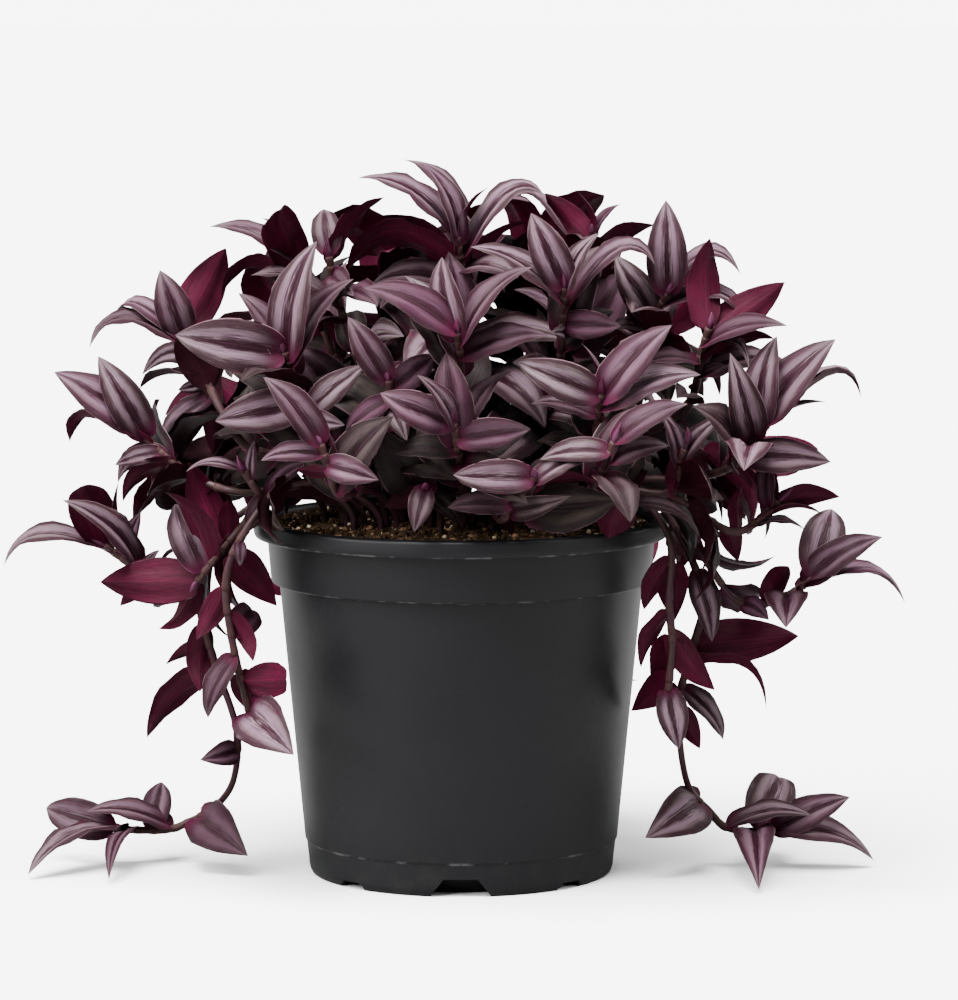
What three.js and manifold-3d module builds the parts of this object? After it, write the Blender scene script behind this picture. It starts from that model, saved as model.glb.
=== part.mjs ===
// A potted trailing spiderwort (Tradescantia zebrina): a round nursery pot, its soil and leafy shoots.
// Millimetres, +Z up. The pot stands on z = 0 with its axis on the Z axis, and its front faces -Y.
import * as THREE from "three";
import { mergeVertices } from "three/addons/utils/BufferGeometryUtils.js";
import ManifoldModule from "manifold-3d";

const wasm = await ManifoldModule();
wasm.setup();
const { Manifold, Mesh: SolidMesh } = wasm;

const V = (x, y, z) => new THREE.Vector3(x, y, z);

// Pot: half profile as [radius, height], outside first and then back down the inside
const POT_HEIGHT = 163;
const RIM_RADIUS = 95;
const RIM_UNDERSIDE = 155.3;
const COLLAR_BOTTOM = 134.3;
const FOOT_STEP = 15.2;
const POT_SIDES = 28;
const POT_OUTSIDE = [
  [0, 0], [58, 0], [59.2, 8.4], [66.4, 8.4], [66.8, 0], [69, 0], [70.4, 2.6],
  [71.3, FOOT_STEP - 0.4], [72, FOOT_STEP + 0.4], [83.4, COLLAR_BOTTOM], [87, COLLAR_BOTTOM],
  [88.8, RIM_UNDERSIDE], [RIM_RADIUS - 0.5, RIM_UNDERSIDE], [RIM_RADIUS, 156.6],
  [RIM_RADIUS, 161.6], [RIM_RADIUS - 1.6, POT_HEIGHT],
];
const POT_INSIDE = [
  [88, POT_HEIGHT], [86.8, 161], [85.1, 136.4], [81.5, 132.6], [70.1, 17], [68.2, 10.6],
  [57.4, 10.6], [56.4, 2.4], [0, 2.2],
];
const NOTCH_COUNT = 8;
const BIG_NOTCH = { height: 8.2, top: 15.2, bottom: 28 };
const SMALL_NOTCH = { height: 3.2, top: 10, bottom: 15 };
const NOTCH_INNER = 61;
const NOTCH_OUTER = 76;
const DRAIN_RADIUS = 3.6;
const DRAIN_CIRCLE = 62.8;

// Soil: fills the pot with a small gap to the wall and a low mound
const GAP = 0.35;
const SOIL_EDGE = 159.6;
const SOIL_TOP = 165.4;
const SOIL_PROFILE = [
  [0, 2.2 + GAP], [55.9, 2.4 + GAP], [56.9, 10.6 + GAP], [67.9, 10.6 + GAP],
  [69.7, 17], [81.1, 132.8], [84.7, 136.6], [86.3, SOIL_EDGE], [50, 163.4], [0, SOIL_TOP],
];

// Stems
const STEM_RADIUS = 1.8;
const STEM_SIDES = 4;
const STEM_STEP = 25;
const STEM_SAMPLES = 80;
const ROOT_DEPTH = 149;
const ROOT_LIMIT = 74;
const ROOT_SPACING = 7.5;
const HOLE_EXTRA = 0.45;

// Leaf blades
const BROAD_STATIONS = [0.25, 0.5, 0.78];
const PLAIN_STATIONS = [0.3, 0.7];
const BROAD_WIDTH = 33;
const RIB_ABOVE = 0.6;
const RIB_BELOW = 0.8;
const FOLD = 0.14;
const ROOT_SHIFTS = [0.8, 0.7, 0.9, 0.6];
const BOW = 0.2;
const SLENDER = 0.42;
const STOUT = 2.0;
const FIRST_LEAF = 1.6;
const LEAF_SPACING = 4.5;
const CLEAR = 0.4;
const FLOOR_CLEAR = 0.7;
const LOWEST_TIP = 2.4;
const OLDER_ABOVE = 182;
const WELD = 0.02;
const GRID = 1e-3;

// View that the front shoots are placed from: eye, downward pitch, focal length and picture centre
const EYE = V(8.2, -2050, 400);
const PITCH = Math.atan2(400 - 171, 2050);
const FOCAL = 4503.8;
const CENTRE_U = 479;
const CENTRE_V = 500;

// Point at depth y that is seen at picture position (u, v)
function seen(u, v, y) {
  const right = u - CENTRE_U;
  const down = v - CENTRE_V;
  const ahead = FOCAL * Math.cos(PITCH) - down * Math.sin(PITCH);
  const rise = -FOCAL * Math.sin(PITCH) - down * Math.cos(PITCH);
  const reach = (y - EYE.y) / ahead;
  return V(EYE.x + right * reach, y, EYE.z + rise * reach);
}

// Front shoots. way: [u, v, depth] of points along the stem, the growing node last.
// leaves: [tip u, tip v, base u, base v, width in picture units, face seen, (middle u, middle v)]
// Face U shows the silver upper side and B the burgundy underside.
const FRONT_SHOOTS = [
  { name: "shoot_upper_left", way: [[240, 440, -42], [196, 358, -28], [178, 332, -22]], leaves: [
    [226, 248, 178, 331, 45, "B"], [160, 270, 175, 325, 38, "U"],
    [117, 318, 175, 328, 8, "U", 140, 308], [89, 349, 177, 334, 14, "U", 128, 323]] },
  { name: "shoot_left", way: [[245, 506, -48], [200, 480, -42], [155, 447, -36], [140, 427, -34]], leaves: [
    [54, 372, 135, 425, 42, "U"], [98, 356, 150, 430, 40, "U"], [70, 442, 130, 429, 14, "B", 92, 421],
    [115, 465, 148, 428, 20, "U"], [118, 483, 158, 447, 14, "U", 138, 456],
    [123, 502, 168, 462, 16, "B", 143, 474]] },
  { name: "shoot_left_rear", way: [[250, 440, 0], [208, 392, 6], [193, 363, 8]], leaves: [
    [142, 375, 193, 363, 20, "U", 170, 353], [165, 415, 200, 390, 22, "B"], [178, 390, 209, 378, 14, "U"],
    [160, 448, 205, 400, 25, "U"], [213, 455, 215, 405, 28, "B"]] },
  { name: "shoot_left_centre", way: [[320, 430, -60], [295, 380, -76], [284, 350, -82]], leaves: [
    [175, 335, 282, 352, 54, "U"], [317, 241, 286, 344, 42, "U"], [354, 279, 293, 362, 27, "U"],
    [238, 293, 281, 337, 22, "U"]] },
  { name: "shoot_top_left", way: [[345, 390, -22], [318, 310, -34], [298, 262, -40]], leaves: [
    [209, 227, 288, 262, 20, "U"], [282, 209, 300, 262, 45, "B"], [262, 218, 292, 262, 12, "B"],
    [221, 297, 290, 275, 10, "B", 255, 268]] },
  { name: "shoot_top_left_inner", way: [[365, 380, -44], [338, 300, -54], [328, 254, -60]], leaves: [
    [324, 209, 327, 250, 31, "U"], [385, 197, 328, 252, 28, "B"], [354, 296, 332, 258, 30, "U"]] },
  { name: "shoot_top", way: [[474, 340, -30], [462, 270, -48], [456, 235, -55]], leaves: [
    [358, 178, 452, 234, 23, "U"], [422, 163, 452, 232, 32, "U"], [489, 187, 460, 232, 12, "B"],
    [543, 194, 461, 238, 20, "U", 506, 200], [345, 276, 452, 240, 20, "B", 394, 240],
    [529, 222, 463, 240, 14, "B"], [375, 216, 446, 240, 18, "B"], [457, 206, 457, 232, 9, "U"]] },
  { name: "shoot_centre", way: [[462, 410, -76], [460, 360, -92], [457, 330, -100]], leaves: [
    [364, 288, 455, 333, 36, "U"], [442, 257, 457, 312, 37, "U"], [533, 267, 462, 325, 24, "U"],
    [548, 336, 457, 340, 30, "U"], [405, 276, 450, 320, 16, "U"]] },
  { name: "shoot_right_centre", way: [[556, 390, -54], [563, 320, -72], [565, 285, -80]], leaves: [
    [531, 213, 564, 282, 40, "U"], [600, 233, 567, 280, 22, "U"], [470, 247, 560, 293, 24, "U"],
    [655, 265, 568, 282, 17, "U", 618, 254], [621, 326, 573, 293, 30, "U"],
    [551, 332, 562, 297, 18, "U"]] },
  { name: "shoot_top_right", way: [[578, 340, -8], [588, 270, -18], [592, 232, -22]], leaves: [
    [545, 193, 588, 240, 28, "B"], [577, 192, 590, 235, 12, "B"], [621, 204, 597, 230, 12, "U"],
    [656, 225, 600, 235, 20, "B"], [512, 201, 575, 240, 10, "U", 540, 208]] },
  { name: "shoot_right_upper", way: [[636, 410, -30], [652, 325, -50], [669, 292, -58]], leaves: [
    [666, 200, 670, 290, 42, "U"], [741, 275, 672, 290, 13, "U", 705, 258],
    [747, 330, 670, 294, 14, "U", 715, 297], [615, 255, 660, 300, 36, "U"]] },
  { name: "shoot_right_upper_front", way: [[686, 410, -52], [702, 350, -64], [710, 326, -68]], leaves: [
    [710, 238, 712, 325, 35, "B"], [785, 282, 714, 318, 38, "B"], [788, 326, 716, 322, 10, "U"],
    [775, 339, 712, 332, 10, "B"], [749, 368, 708, 340, 10, "U", 732, 346], [727, 366, 706, 342, 9, "U"],
    [693, 305, 708, 338, 11, "U"], [704, 396, 704, 348, 18, "B"]] },
  { name: "shoot_right", way: [[690, 492, -60], [738, 462, -72], [764, 421, -78]], leaves: [
    [836, 339, 770, 413, 42, "U"], [777, 336, 765, 415, 42, "U"], [730, 353, 757, 425, 34, "U"],
    [744, 471, 760, 424, 50, "U"], [831, 462, 766, 420, 36, "U"], [827, 402, 770, 412, 10, "U"],
    [861, 398, 770, 410, 8, "U", 822, 384], [752, 490, 742, 455, 9, "B"]] },
  { name: "shoot_right_low", way: [[676, 505, -52], [735, 532, -56], [780, 500, -58]], leaves: [
    [840, 497, 783, 500, 23, "B"], [778, 443, 780, 497, 20, "U"], [761, 453, 775, 502, 11, "B"],
    [823, 515, 782, 503, 8, "U"], [805, 530, 776, 507, 9, "U"], [742, 486, 766, 512, 16, "B"],
    [738, 562, 748, 524, 24, "B"]] },
  { name: "shoot_far_right", way: [[660, 500, -26], [700, 552, -34], [742, 604, -38], [785, 596, -40],
    [815, 577, -40]], leaves: [
    [832, 509, 815, 572, 46, "U"], [883, 537, 819, 573, 32, "U"], [905, 604, 818, 578, 10, "U", 862, 575],
    [786, 628, 803, 584, 44, "U"], [788, 566, 765, 596, 26, "B"], [769, 620, 742, 604, 22, "U"]] },
  { name: "shoot_right_inner", way: [[668, 500, -62], [680, 465, -72], [688, 440, -76]], leaves: [
    [672, 500, 688, 452, 18, "B"], [706, 482, 690, 444, 28, "B"], [724, 418, 690, 438, 20, "U"],
    [660, 412, 686, 438, 20, "U"]] },
  { name: "shoot_front_left", way: [[340, 495, -90], [328, 468, -101], [320, 442, -104]], leaves: [
    [263, 377, 320, 438, 34, "U"], [261, 461, 312, 438, 22, "U"], [379, 480, 322, 445, 30, "U"],
    [296, 470, 318, 450, 14, "B"], [318, 422, 320, 440, 9, "U"]] },
  { name: "shoot_front_left_upper", way: [[330, 455, -70], [312, 422, -82], [304, 400, -86]], leaves: [
    [215, 421, 296, 400, 44, "U"], [365, 365, 312, 402, 30, "U"], [345, 425, 308, 406, 24, "U"]] },
  { name: "shoot_front_middle_left", way: [[404, 455, -74], [392, 405, -90], [388, 378, -96]], leaves: [
    [348, 317, 388, 378, 34, "U"], [434, 356, 393, 382, 30, "U"], [345, 436, 386, 392, 22, "U"],
    [407, 441, 390, 398, 24, "U"]] },
  { name: "shoot_front_middle", way: [[462, 490, -84], [458, 450, -100], [452, 418, -108]], leaves: [
    [380, 393, 450, 425, 38, "U"], [417, 375, 452, 412, 20, "U"], [531, 429, 455, 425, 34, "U"],
    [446, 352, 452, 410, 44, "U"], [514, 370, 458, 412, 24, "U"]] },
  { name: "shoot_front_middle_right", way: [[584, 475, -72], [598, 420, -90], [602, 390, -98]], leaves: [
    [516, 361, 600, 395, 40, "U"], [672, 325, 602, 385, 40, "U"], [701, 375, 602, 398, 34, "U"],
    [531, 404, 595, 405, 20, "U"], [581, 343, 600, 385, 14, "U"]] },
  { name: "shoot_front_right", way: [[574, 512, -86], [592, 488, -98], [604, 468, -106], [615, 440, -110]],
    leaves: [
    [688, 404, 622, 440, 28, "U"], [540, 460, 612, 445, 26, "U"], [669, 446, 618, 446, 24, "U"],
    [633, 408, 616, 438, 14, "U"], [634, 507, 608, 466, 24, "B"]] },
  { name: "shoot_front_centre", way: [[521, 510, -90], [530, 490, -106], [535, 475, -113]], leaves: [
    [453, 475, 530, 474, 36, "U"], [597, 457, 538, 475, 22, "U"], [426, 474, 475, 486, 18, "B"],
    [600, 484, 537, 478, 14, "B"], [545, 456, 536, 474, 10, "U"]] },
  { name: "shoot_front_low", way: [[500, 520, -84], [514, 503, -98]], leaves: [
    [447, 508, 512, 502, 26, "U"], [571, 496, 518, 505, 26, "U"], [512, 536, 514, 506, 20, "B"]] },
  { name: "shoot_front_low_left", way: [[420, 508, -80], [425, 487, -98]], leaves: [
    [414, 532, 424, 487, 26, "U"], [384, 507, 420, 492, 22, "B"], [460, 526, 428, 492, 18, "U"]] },
  { name: "shoot_front_low_right", way: [[610, 520, -68], [620, 502, -84]], leaves: [
    [608, 538, 614, 500, 44, "B"], [700, 538, 624, 508, 12, "U", 664, 513],
    [648, 470, 622, 500, 20, "B"]] },
  { name: "shoot_left_rim", way: [[275, 505, -56], [262, 495, -62], [243, 470, -66]], leaves: [
    [186, 472, 240, 466, 10, "U"], [255, 440, 245, 470, 14, "U"], [247, 532, 266, 502, 22, "U"],
    [317, 465, 268, 500, 16, "U"], [335, 506, 274, 505, 20, "B"]] },
  { name: "shoot_far_left", way: [[264, 500, -18], [230, 545, -24], [195, 572, -28], [150, 574, -28],
    [103, 545, -24]], leaves: [
    [82, 486, 97, 547, 46, "B"], [4, 566, 90, 543, 16, "U", 46, 541], [141, 512, 105, 547, 20, "U"],
    [160, 550, 143, 572, 10, "U"], [62, 500, 96, 545, 18, "U"], [120, 606, 150, 578, 20, "B"]] },
  { name: "shoot_left_low", way: [[272, 497, -46], [228, 543, -52], [196, 583, -52]], leaves: [
    [100, 582, 190, 598, 48, "B"], [175, 504, 195, 568, 42, "U"], [163, 492, 196, 560, 22, "B"],
    [190, 463, 214, 545, 40, "B"], [157, 571, 193, 575, 14, "U"], [228, 500, 226, 545, 22, "B"],
    [222, 590, 205, 570, 20, "B"]] },
  { name: "trail_left_front", way: [[282, 494, -62], [243, 535, -66], [226, 580, -64], [233, 645, -58],
    [250, 715, -54]], leaves: [
    [294, 755, 246, 722, 54, "U"], [252, 610, 224, 640, 34, "U"], [277, 606, 240, 560, 38, "B"],
    [286, 679, 236, 680, 36, "B"], [264, 721, 238, 690, 30, "B"], [253, 662, 236, 612, 20, "B"],
    [208, 718, 240, 716, 25, "U"], [240, 566, 238, 538, 14, "U"], [196, 640, 226, 590, 26, "B"]] },
  { name: "trail_left", way: [[262, 499, -34], [207, 545, -38], [197, 592, -34], [214, 660, -30],
    [236, 727, -22], [234, 778, -6], [216, 806, 6], [190, 821, 14], [165, 830, 16],
    [112, 829, 12]], leaves: [
    [46, 808, 108, 829, 40, "U"], [28, 875, 110, 830, 18, "U"], [109, 880, 122, 829, 18, "U"],
    [162, 782, 147, 829, 30, "U"], [248, 856, 200, 814, 50, "U"], [147, 738, 206, 672, 30, "B"],
    [200, 692, 203, 622, 28, "B"], [165, 665, 202, 650, 12, "B"], [86, 812, 112, 828, 12, "U"],
    [200, 760, 236, 750, 26, "U"]] },
  { name: "trail_right", way: [[652, 498, -18], [688, 552, -28], [703, 600, -32], [692, 650, -32],
    [679, 700, -30], [681, 752, -22], [690, 790, -8], [707, 808, 2], [730, 829, 6],
    [786, 832, -2]], leaves: [
    [779, 777, 760, 832, 50, "U"], [850, 797, 785, 830, 34, "U"], [874, 861, 787, 832, 26, "U"],
    [759, 890, 775, 832, 42, "U"], [645, 838, 700, 800, 50, "U"], [799, 636, 706, 650, 46, "B"],
    [712, 642, 700, 572, 30, "U"], [766, 710, 692, 668, 9, "U", 742, 668], [723, 740, 684, 690, 22, "U"],
    [700, 749, 681, 706, 24, "B"], [812, 816, 788, 831, 12, "U"], [708, 563, 690, 520, 36, "B"]] },
  { name: "trail_right_inner", way: [[640, 494, -44], [670, 540, -52], [669, 600, -50], [672, 645, -48],
    [668, 694, -46]], leaves: [
    [679, 749, 670, 692, 32, "U"], [631, 711, 667, 696, 34, "B"], [674, 622, 672, 566, 34, "B"],
    [652, 688, 671, 640, 34, "B"], [644, 610, 668, 556, 22, "B"], [715, 690, 674, 630, 32, "B"],
    [641, 668, 669, 610, 18, "B"]] },
];

// Rear, upper and inner shoots, placed by rule: [turn about Z, rise above the soil, reach of the dome]
const RULED_SHOOTS = [
  [8, 12, 1], [38, 8, 1], [69, 14, 1], [101, 8, 1], [132, 14, 1], [163, 9, 1],
  [22, 38, 1], [62, 41, 1], [106, 38, 1], [150, 41, 1], [44, 66, 1], [128, 66, 1], [276, 86, 1],
  [200, 50, 0.72], [232, 30, 0.68], [268, 58, 0.72], [300, 32, 0.68], [335, 52, 0.72],
];
const DOME = { x: 132, y: 116, base: 172, rise: 116 };
const RULED_LEAVES = 5;
const GOLDEN_TURN = 137.5;
// Rear stems that hang over the rim: [turn about Z, height of the tip]
const REAR_TRAILS = [[62, 70], [118, 96]];

const radians = (degrees) => (degrees * Math.PI) / 180;

// Repeatable draws between 0 and 1 from a whole-number seed
function drawsFrom(seed) {
  let state = seed >>> 0;
  return () => {
    state = (state + 0x6d2b79f5) >>> 0;
    let mixed = Math.imul(state ^ (state >>> 15), state | 1);
    mixed = (mixed + Math.imul(mixed ^ (mixed >>> 7), mixed | 61)) ^ mixed;
    return ((mixed ^ (mixed >>> 14)) >>> 0) / 4294967296;
  };
}

// Number of straight pieces that a stem is made of
const stemSteps = (curve) => Math.ceil(curve.getLength() / STEM_STEP);

// Point inside the faceted stem, counted back from its end in millimetres, and the stem's direction there
function stemFrame(curve, back) {
  const steps = stemSteps(curve);
  const corners = curve.getSpacedPoints(steps);
  const place = steps * THREE.MathUtils.clamp(1 - back / curve.getLength(), 0, 0.9999);
  const piece = Math.floor(place);
  const along = corners[piece + 1].clone().sub(corners[piece]);
  return { point: corners[piece].clone().addScaledVector(along, place - piece), along: along.normalize() };
}

// Distance back from the end of a stem to where it passes nearest to picture position (u, v)
function nearestBack(curve, u, v) {
  let best = Infinity;
  let bestIndex = STEM_SAMPLES;
  curve.getSpacedPoints(STEM_SAMPLES).forEach((point, index) => {
    const distance = point.distanceTo(seen(u, v, point.y));
    if (distance < best) {
      best = distance;
      bestIndex = index;
    }
  });
  return curve.getLength() * (1 - bestIndex / STEM_SAMPLES);
}

// Stem curve of a shoot: out of its hole in the soil, over to its way points. Each trial moves the root.
function stemCurve(shoot, trial) {
  const first = shoot.way[0].clone();
  const reach = 5 * Math.sqrt(trial);
  const turn = 2.4 * trial;
  const root = new THREE.Vector2(first.x * 0.55, first.y * 0.55).clampLength(0, ROOT_LIMIT - 12);
  root.add(new THREE.Vector2(reach * Math.cos(turn), reach * Math.sin(turn))).clampLength(0, ROOT_LIMIT);
  first.z += 3 * (trial % 3);
  const leaving = V(root.x, root.y, 170);
  const lead = leaving.clone().lerp(first, 0.45);
  lead.z += 7;
  const points = [V(root.x, root.y, ROOT_DEPTH), leaving, lead, first, ...shoot.way.slice(1)];
  const curve = new THREE.CatmullRomCurve3(points, false, "catmullrom", 0.5);
  return { curve, root };
}

// Variants of a leaf in the order they are tried: shrink, then move, then roll or turn
const SHRINKS = [1, 0.88, 0.76];
const MOVES = [0, -7, 7, -14, 14, -22, 22, -30, 30];
const ROLLS = [0, 20, -20];
const VARIANTS = SHRINKS.flatMap((shrink) =>
  MOVES.flatMap((move) => ROLLS.map((roll) => ({ shrink, move, roll: radians(roll) }))));

// Blade placed from the view: the outline seen stays, the depth of the tip follows from the leaf's form
function seenBlade(leaf, curve, order, variant) {
  const [tipU, tipV, baseU, baseV, wide, face, midU, midV] = leaf;
  const back = Math.max(nearestBack(curve, baseU, baseV), FIRST_LEAF + LEAF_SPACING * Math.min(order, 6));
  const base = stemFrame(curve, back).point;
  const flatTip = seen(tipU, tipV, base.y);
  const flat = flatTip.distanceTo(base);
  const scale = flatTip.distanceTo(EYE) / FOCAL;
  const seenWidth = wide * scale;
  const length = Math.max(flat, Math.min(seenWidth * STOUT, 56));
  const width = Math.max(seenWidth, SLENDER * length) * variant.shrink;
  const upward = flatTip.z > base.z ? 1 : -1;
  const side = face === "U" ? 1 : -1;
  const deeper = upward * side * Math.sqrt(Math.max(0, length * length - flat * flat));
  const tip = seen(tipU, tipV, base.y + deeper + variant.move);
  if (tip.z < LOWEST_TIP) {
    tip.sub(EYE).multiplyScalar((EYE.z - LOWEST_TIP) / -tip.z).add(EYE);
  }
  tip.sub(base).multiplyScalar(0.5 + 0.5 * variant.shrink).add(base);
  const axis = tip.clone().sub(base).normalize();
  const middle = base.clone().add(tip).multiplyScalar(0.5);
  const toEye = EYE.clone().sub(middle).normalize();
  const facing = toEye.addScaledVector(axis, -toEye.dot(axis)).normalize();
  const across = new THREE.Vector3().crossVectors(axis, facing);
  const cosine = Math.min(1, seenWidth / Math.max(seenWidth, SLENDER * length));
  const sine = Math.sqrt(1 - cosine * cosine);
  let control = null;
  let lean = across.z >= 0 ? 1 : -1;
  if (midU !== undefined) {
    const through = seen(midU, midV, (base.y + tip.y) / 2);
    control = through.multiplyScalar(2).addScaledVector(middle, -1);
    lean = across.dot(control.clone().sub(middle)) >= 0 ? 1 : -1;
  }
  const up = facing.clone().multiplyScalar(side * cosine).addScaledVector(across, lean * sine);
  up.applyAxisAngle(axis, variant.roll).normalize();
  control ??= middle.clone().addScaledVector(up, BOW * tip.distanceTo(base));
  control.z = Math.max(control.z, LOWEST_TIP);
  return { base, control, tip, up, width, stations: wide > BROAD_WIDTH ? BROAD_STATIONS : PLAIN_STATIONS };
}

// Blade placed by rule around its stem: leaf.turn about the stem, leaf.spread away from its direction
function ruledBlade(leaf, curve, order, variant) {
  const { point: base, along } = stemFrame(curve, leaf.back);
  const level = Math.abs(along.z) > 0.97 ? V(1, 0, 0) : V(0, 0, 1);
  const first = new THREE.Vector3().crossVectors(along, level).normalize();
  const second = new THREE.Vector3().crossVectors(along, first);
  const turn = leaf.turn + variant.roll;
  const spread = leaf.spread + radians(variant.move);
  const direction = along.clone().multiplyScalar(Math.cos(spread));
  direction.addScaledVector(first, Math.cos(turn) * Math.sin(spread));
  direction.addScaledVector(second, Math.sin(turn) * Math.sin(spread));
  direction.z -= leaf.droop;
  direction.normalize();
  const length = leaf.length * variant.shrink;
  const tip = base.clone().addScaledVector(direction, length);
  const up = along.clone().addScaledVector(direction, -along.dot(direction)).normalize();
  const control = base.clone().add(tip).multiplyScalar(0.5).addScaledVector(up, BOW * length);
  return { base, control, tip, up, width: leaf.slim * length, stations: PLAIN_STATIONS };
}

function bladeOf(leaf, ...rest) {
  return Array.isArray(leaf) ? seenBlade(leaf, ...rest) : ruledBlade(leaf, ...rest);
}

// Half width of a blade at share t of its length: rounded base, widest at a third, drawn-out tip
const bladeShape = (t) => 2.49 * Math.sqrt(t) * (1 - t) ** 0.9;

const quadratic = (a, b, c, t) => a.clone().multiplyScalar((1 - t) ** 2)
  .addScaledVector(b, 2 * t * (1 - t)).addScaledVector(c, t * t);

// Closed blade: a point at the base, rings of left edge, upper rib, right edge and lower rib, and the tip
function bladeGeometry({ base, control, tip, up, width, stations }, grow = 0, shift = ROOT_SHIFTS[0]) {
  const points = [base.clone().lerp(control, shift / control.distanceTo(base))];
  for (const t of stations) {
    const centre = quadratic(base, control, tip, t);
    const along = control.clone().sub(base).lerp(tip.clone().sub(control), t).normalize();
    const across = new THREE.Vector3().crossVectors(along, up).normalize();
    const above = new THREE.Vector3().crossVectors(across, along);
    const half = (width / 2) * bladeShape(t);
    const rise = above.clone().multiplyScalar(FOLD * half);
    points.push(
      centre.clone().addScaledVector(across, -half - grow).add(rise),
      centre.clone().addScaledVector(above, RIB_ABOVE + grow),
      centre.clone().addScaledVector(across, half + grow).add(rise),
      centre.clone().addScaledVector(above, -RIB_BELOW - grow),
    );
  }
  points.push(tip.clone().addScaledVector(tip.clone().sub(control).normalize(), grow));
  const index = [];
  const ring = (station, corner) => 1 + 4 * station + (corner % 4);
  const last = stations.length - 1;
  for (let corner = 0; corner < 4; corner += 1) {
    index.push(0, ring(0, corner + 1), ring(0, corner));
    for (let s = 0; s < last; s += 1) {
      index.push(ring(s, corner), ring(s, corner + 1), ring(s + 1, corner));
      index.push(ring(s, corner + 1), ring(s + 1, corner + 1), ring(s + 1, corner));
    }
    index.push(ring(last, corner), ring(last, corner + 1), points.length - 1);
  }
  const geometry = new THREE.BufferGeometry().setFromPoints(points);
  geometry.setIndex(index);
  return geometry;
}

// Closed round stem along a curve
function stemGeometry(curve, radius) {
  const section = new THREE.Shape();
  for (let side = 0; side < STEM_SIDES; side += 1) {
    const turn = (2 * Math.PI * side) / STEM_SIDES;
    section[side ? "lineTo" : "moveTo"](radius * Math.cos(turn), radius * Math.sin(turn));
  }
  section.closePath();
  const steps = stemSteps(curve);
  return new THREE.ExtrudeGeometry(section, { steps, bevelEnabled: false, extrudePath: curve });
}

// Conversions between three.js geometry and solids
function solidOf(geometry) {
  const bare = new THREE.BufferGeometry();
  bare.setAttribute("position", geometry.getAttribute("position"));
  bare.setIndex(geometry.getIndex());
  const merged = mergeVertices(bare, 1e-4);
  const solid = new Manifold(new SolidMesh({
    numProp: 3,
    vertProperties: new Float32Array(merged.getAttribute("position").array),
    triVerts: new Uint32Array(merged.getIndex().array),
  }));
  return solid;
}

function geometryOf(solid) {
  const { vertProperties, triVerts, numProp } = solid.getMesh();
  const positions = new Float32Array((vertProperties.length / numProp) * 3);
  for (let i = 0; i < positions.length / 3; i += 1) {
    for (let axis = 0; axis < 3; axis += 1) {
      positions[3 * i + axis] = vertProperties[numProp * i + axis];
    }
  }
  const indexed = new THREE.BufferGeometry();
  indexed.setAttribute("position", new THREE.BufferAttribute(positions, 3));
  indexed.setIndex([...triVerts]);
  const geometry = indexed.toNonIndexed();
  geometry.computeVertexNormals();
  return geometry;
}

function latheGeometry(profile) {
  const outline = profile.map(([radius, height]) => new THREE.Vector2(radius, height));
  return new THREE.LatheGeometry(outline, POT_SIDES).rotateX(Math.PI / 2);
}

// Triangles of a geometry with a box round each, for the clearance test
function obstacleOf(geometry, owner) {
  const flat = geometry.index ? geometry.toNonIndexed() : geometry;
  const corners = Float64Array.from(flat.getAttribute("position").array);
  const count = corners.length / 9;
  const boxes = new Float64Array(6 * count);
  const whole = [Infinity, Infinity, Infinity, -Infinity, -Infinity, -Infinity];
  for (let i = 0; i < count; i += 1) {
    for (let axis = 0; axis < 3; axis += 1) {
      const values = [corners[9 * i + axis], corners[9 * i + 3 + axis], corners[9 * i + 6 + axis]];
      boxes[6 * i + axis] = Math.min(...values);
      boxes[6 * i + 3 + axis] = Math.max(...values);
      whole[axis] = Math.min(whole[axis], boxes[6 * i + axis]);
      whole[3 + axis] = Math.max(whole[3 + axis], boxes[6 * i + 3 + axis]);
    }
  }
  return { corners, boxes, count, whole, owner };
}

const boxesMeet = (a, i, b, j) =>
  a[i] <= b[j + 3] && b[j] <= a[i + 3] &&
  a[i + 1] <= b[j + 4] && b[j + 1] <= a[i + 4] &&
  a[i + 2] <= b[j + 5] && b[j + 2] <= a[i + 5];

// True if the edge from corner p to corner q of a passes through the triangle that starts at t in b
function edgePierces(a, p, q, b, t) {
  const dx = a[q] - a[p];
  const dy = a[q + 1] - a[p + 1];
  const dz = a[q + 2] - a[p + 2];
  const e1x = b[t + 3] - b[t];
  const e1y = b[t + 4] - b[t + 1];
  const e1z = b[t + 5] - b[t + 2];
  const e2x = b[t + 6] - b[t];
  const e2y = b[t + 7] - b[t + 1];
  const e2z = b[t + 8] - b[t + 2];
  const px = dy * e2z - dz * e2y;
  const py = dz * e2x - dx * e2z;
  const pz = dx * e2y - dy * e2x;
  const facing = e1x * px + e1y * py + e1z * pz;
  if (Math.abs(facing) < 1e-12) return false;
  const sx = a[p] - b[t];
  const sy = a[p + 1] - b[t + 1];
  const sz = a[p + 2] - b[t + 2];
  const first = (sx * px + sy * py + sz * pz) / facing;
  if (first < 0 || first > 1) return false;
  const qx = sy * e1z - sz * e1y;
  const qy = sz * e1x - sx * e1z;
  const qz = sx * e1y - sy * e1x;
  const second = (dx * qx + dy * qy + dz * qz) / facing;
  if (second < 0 || first + second > 1) return false;
  const share = (e2x * qx + e2y * qy + e2z * qz) / facing;
  return share >= 0 && share <= 1;
}

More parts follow.
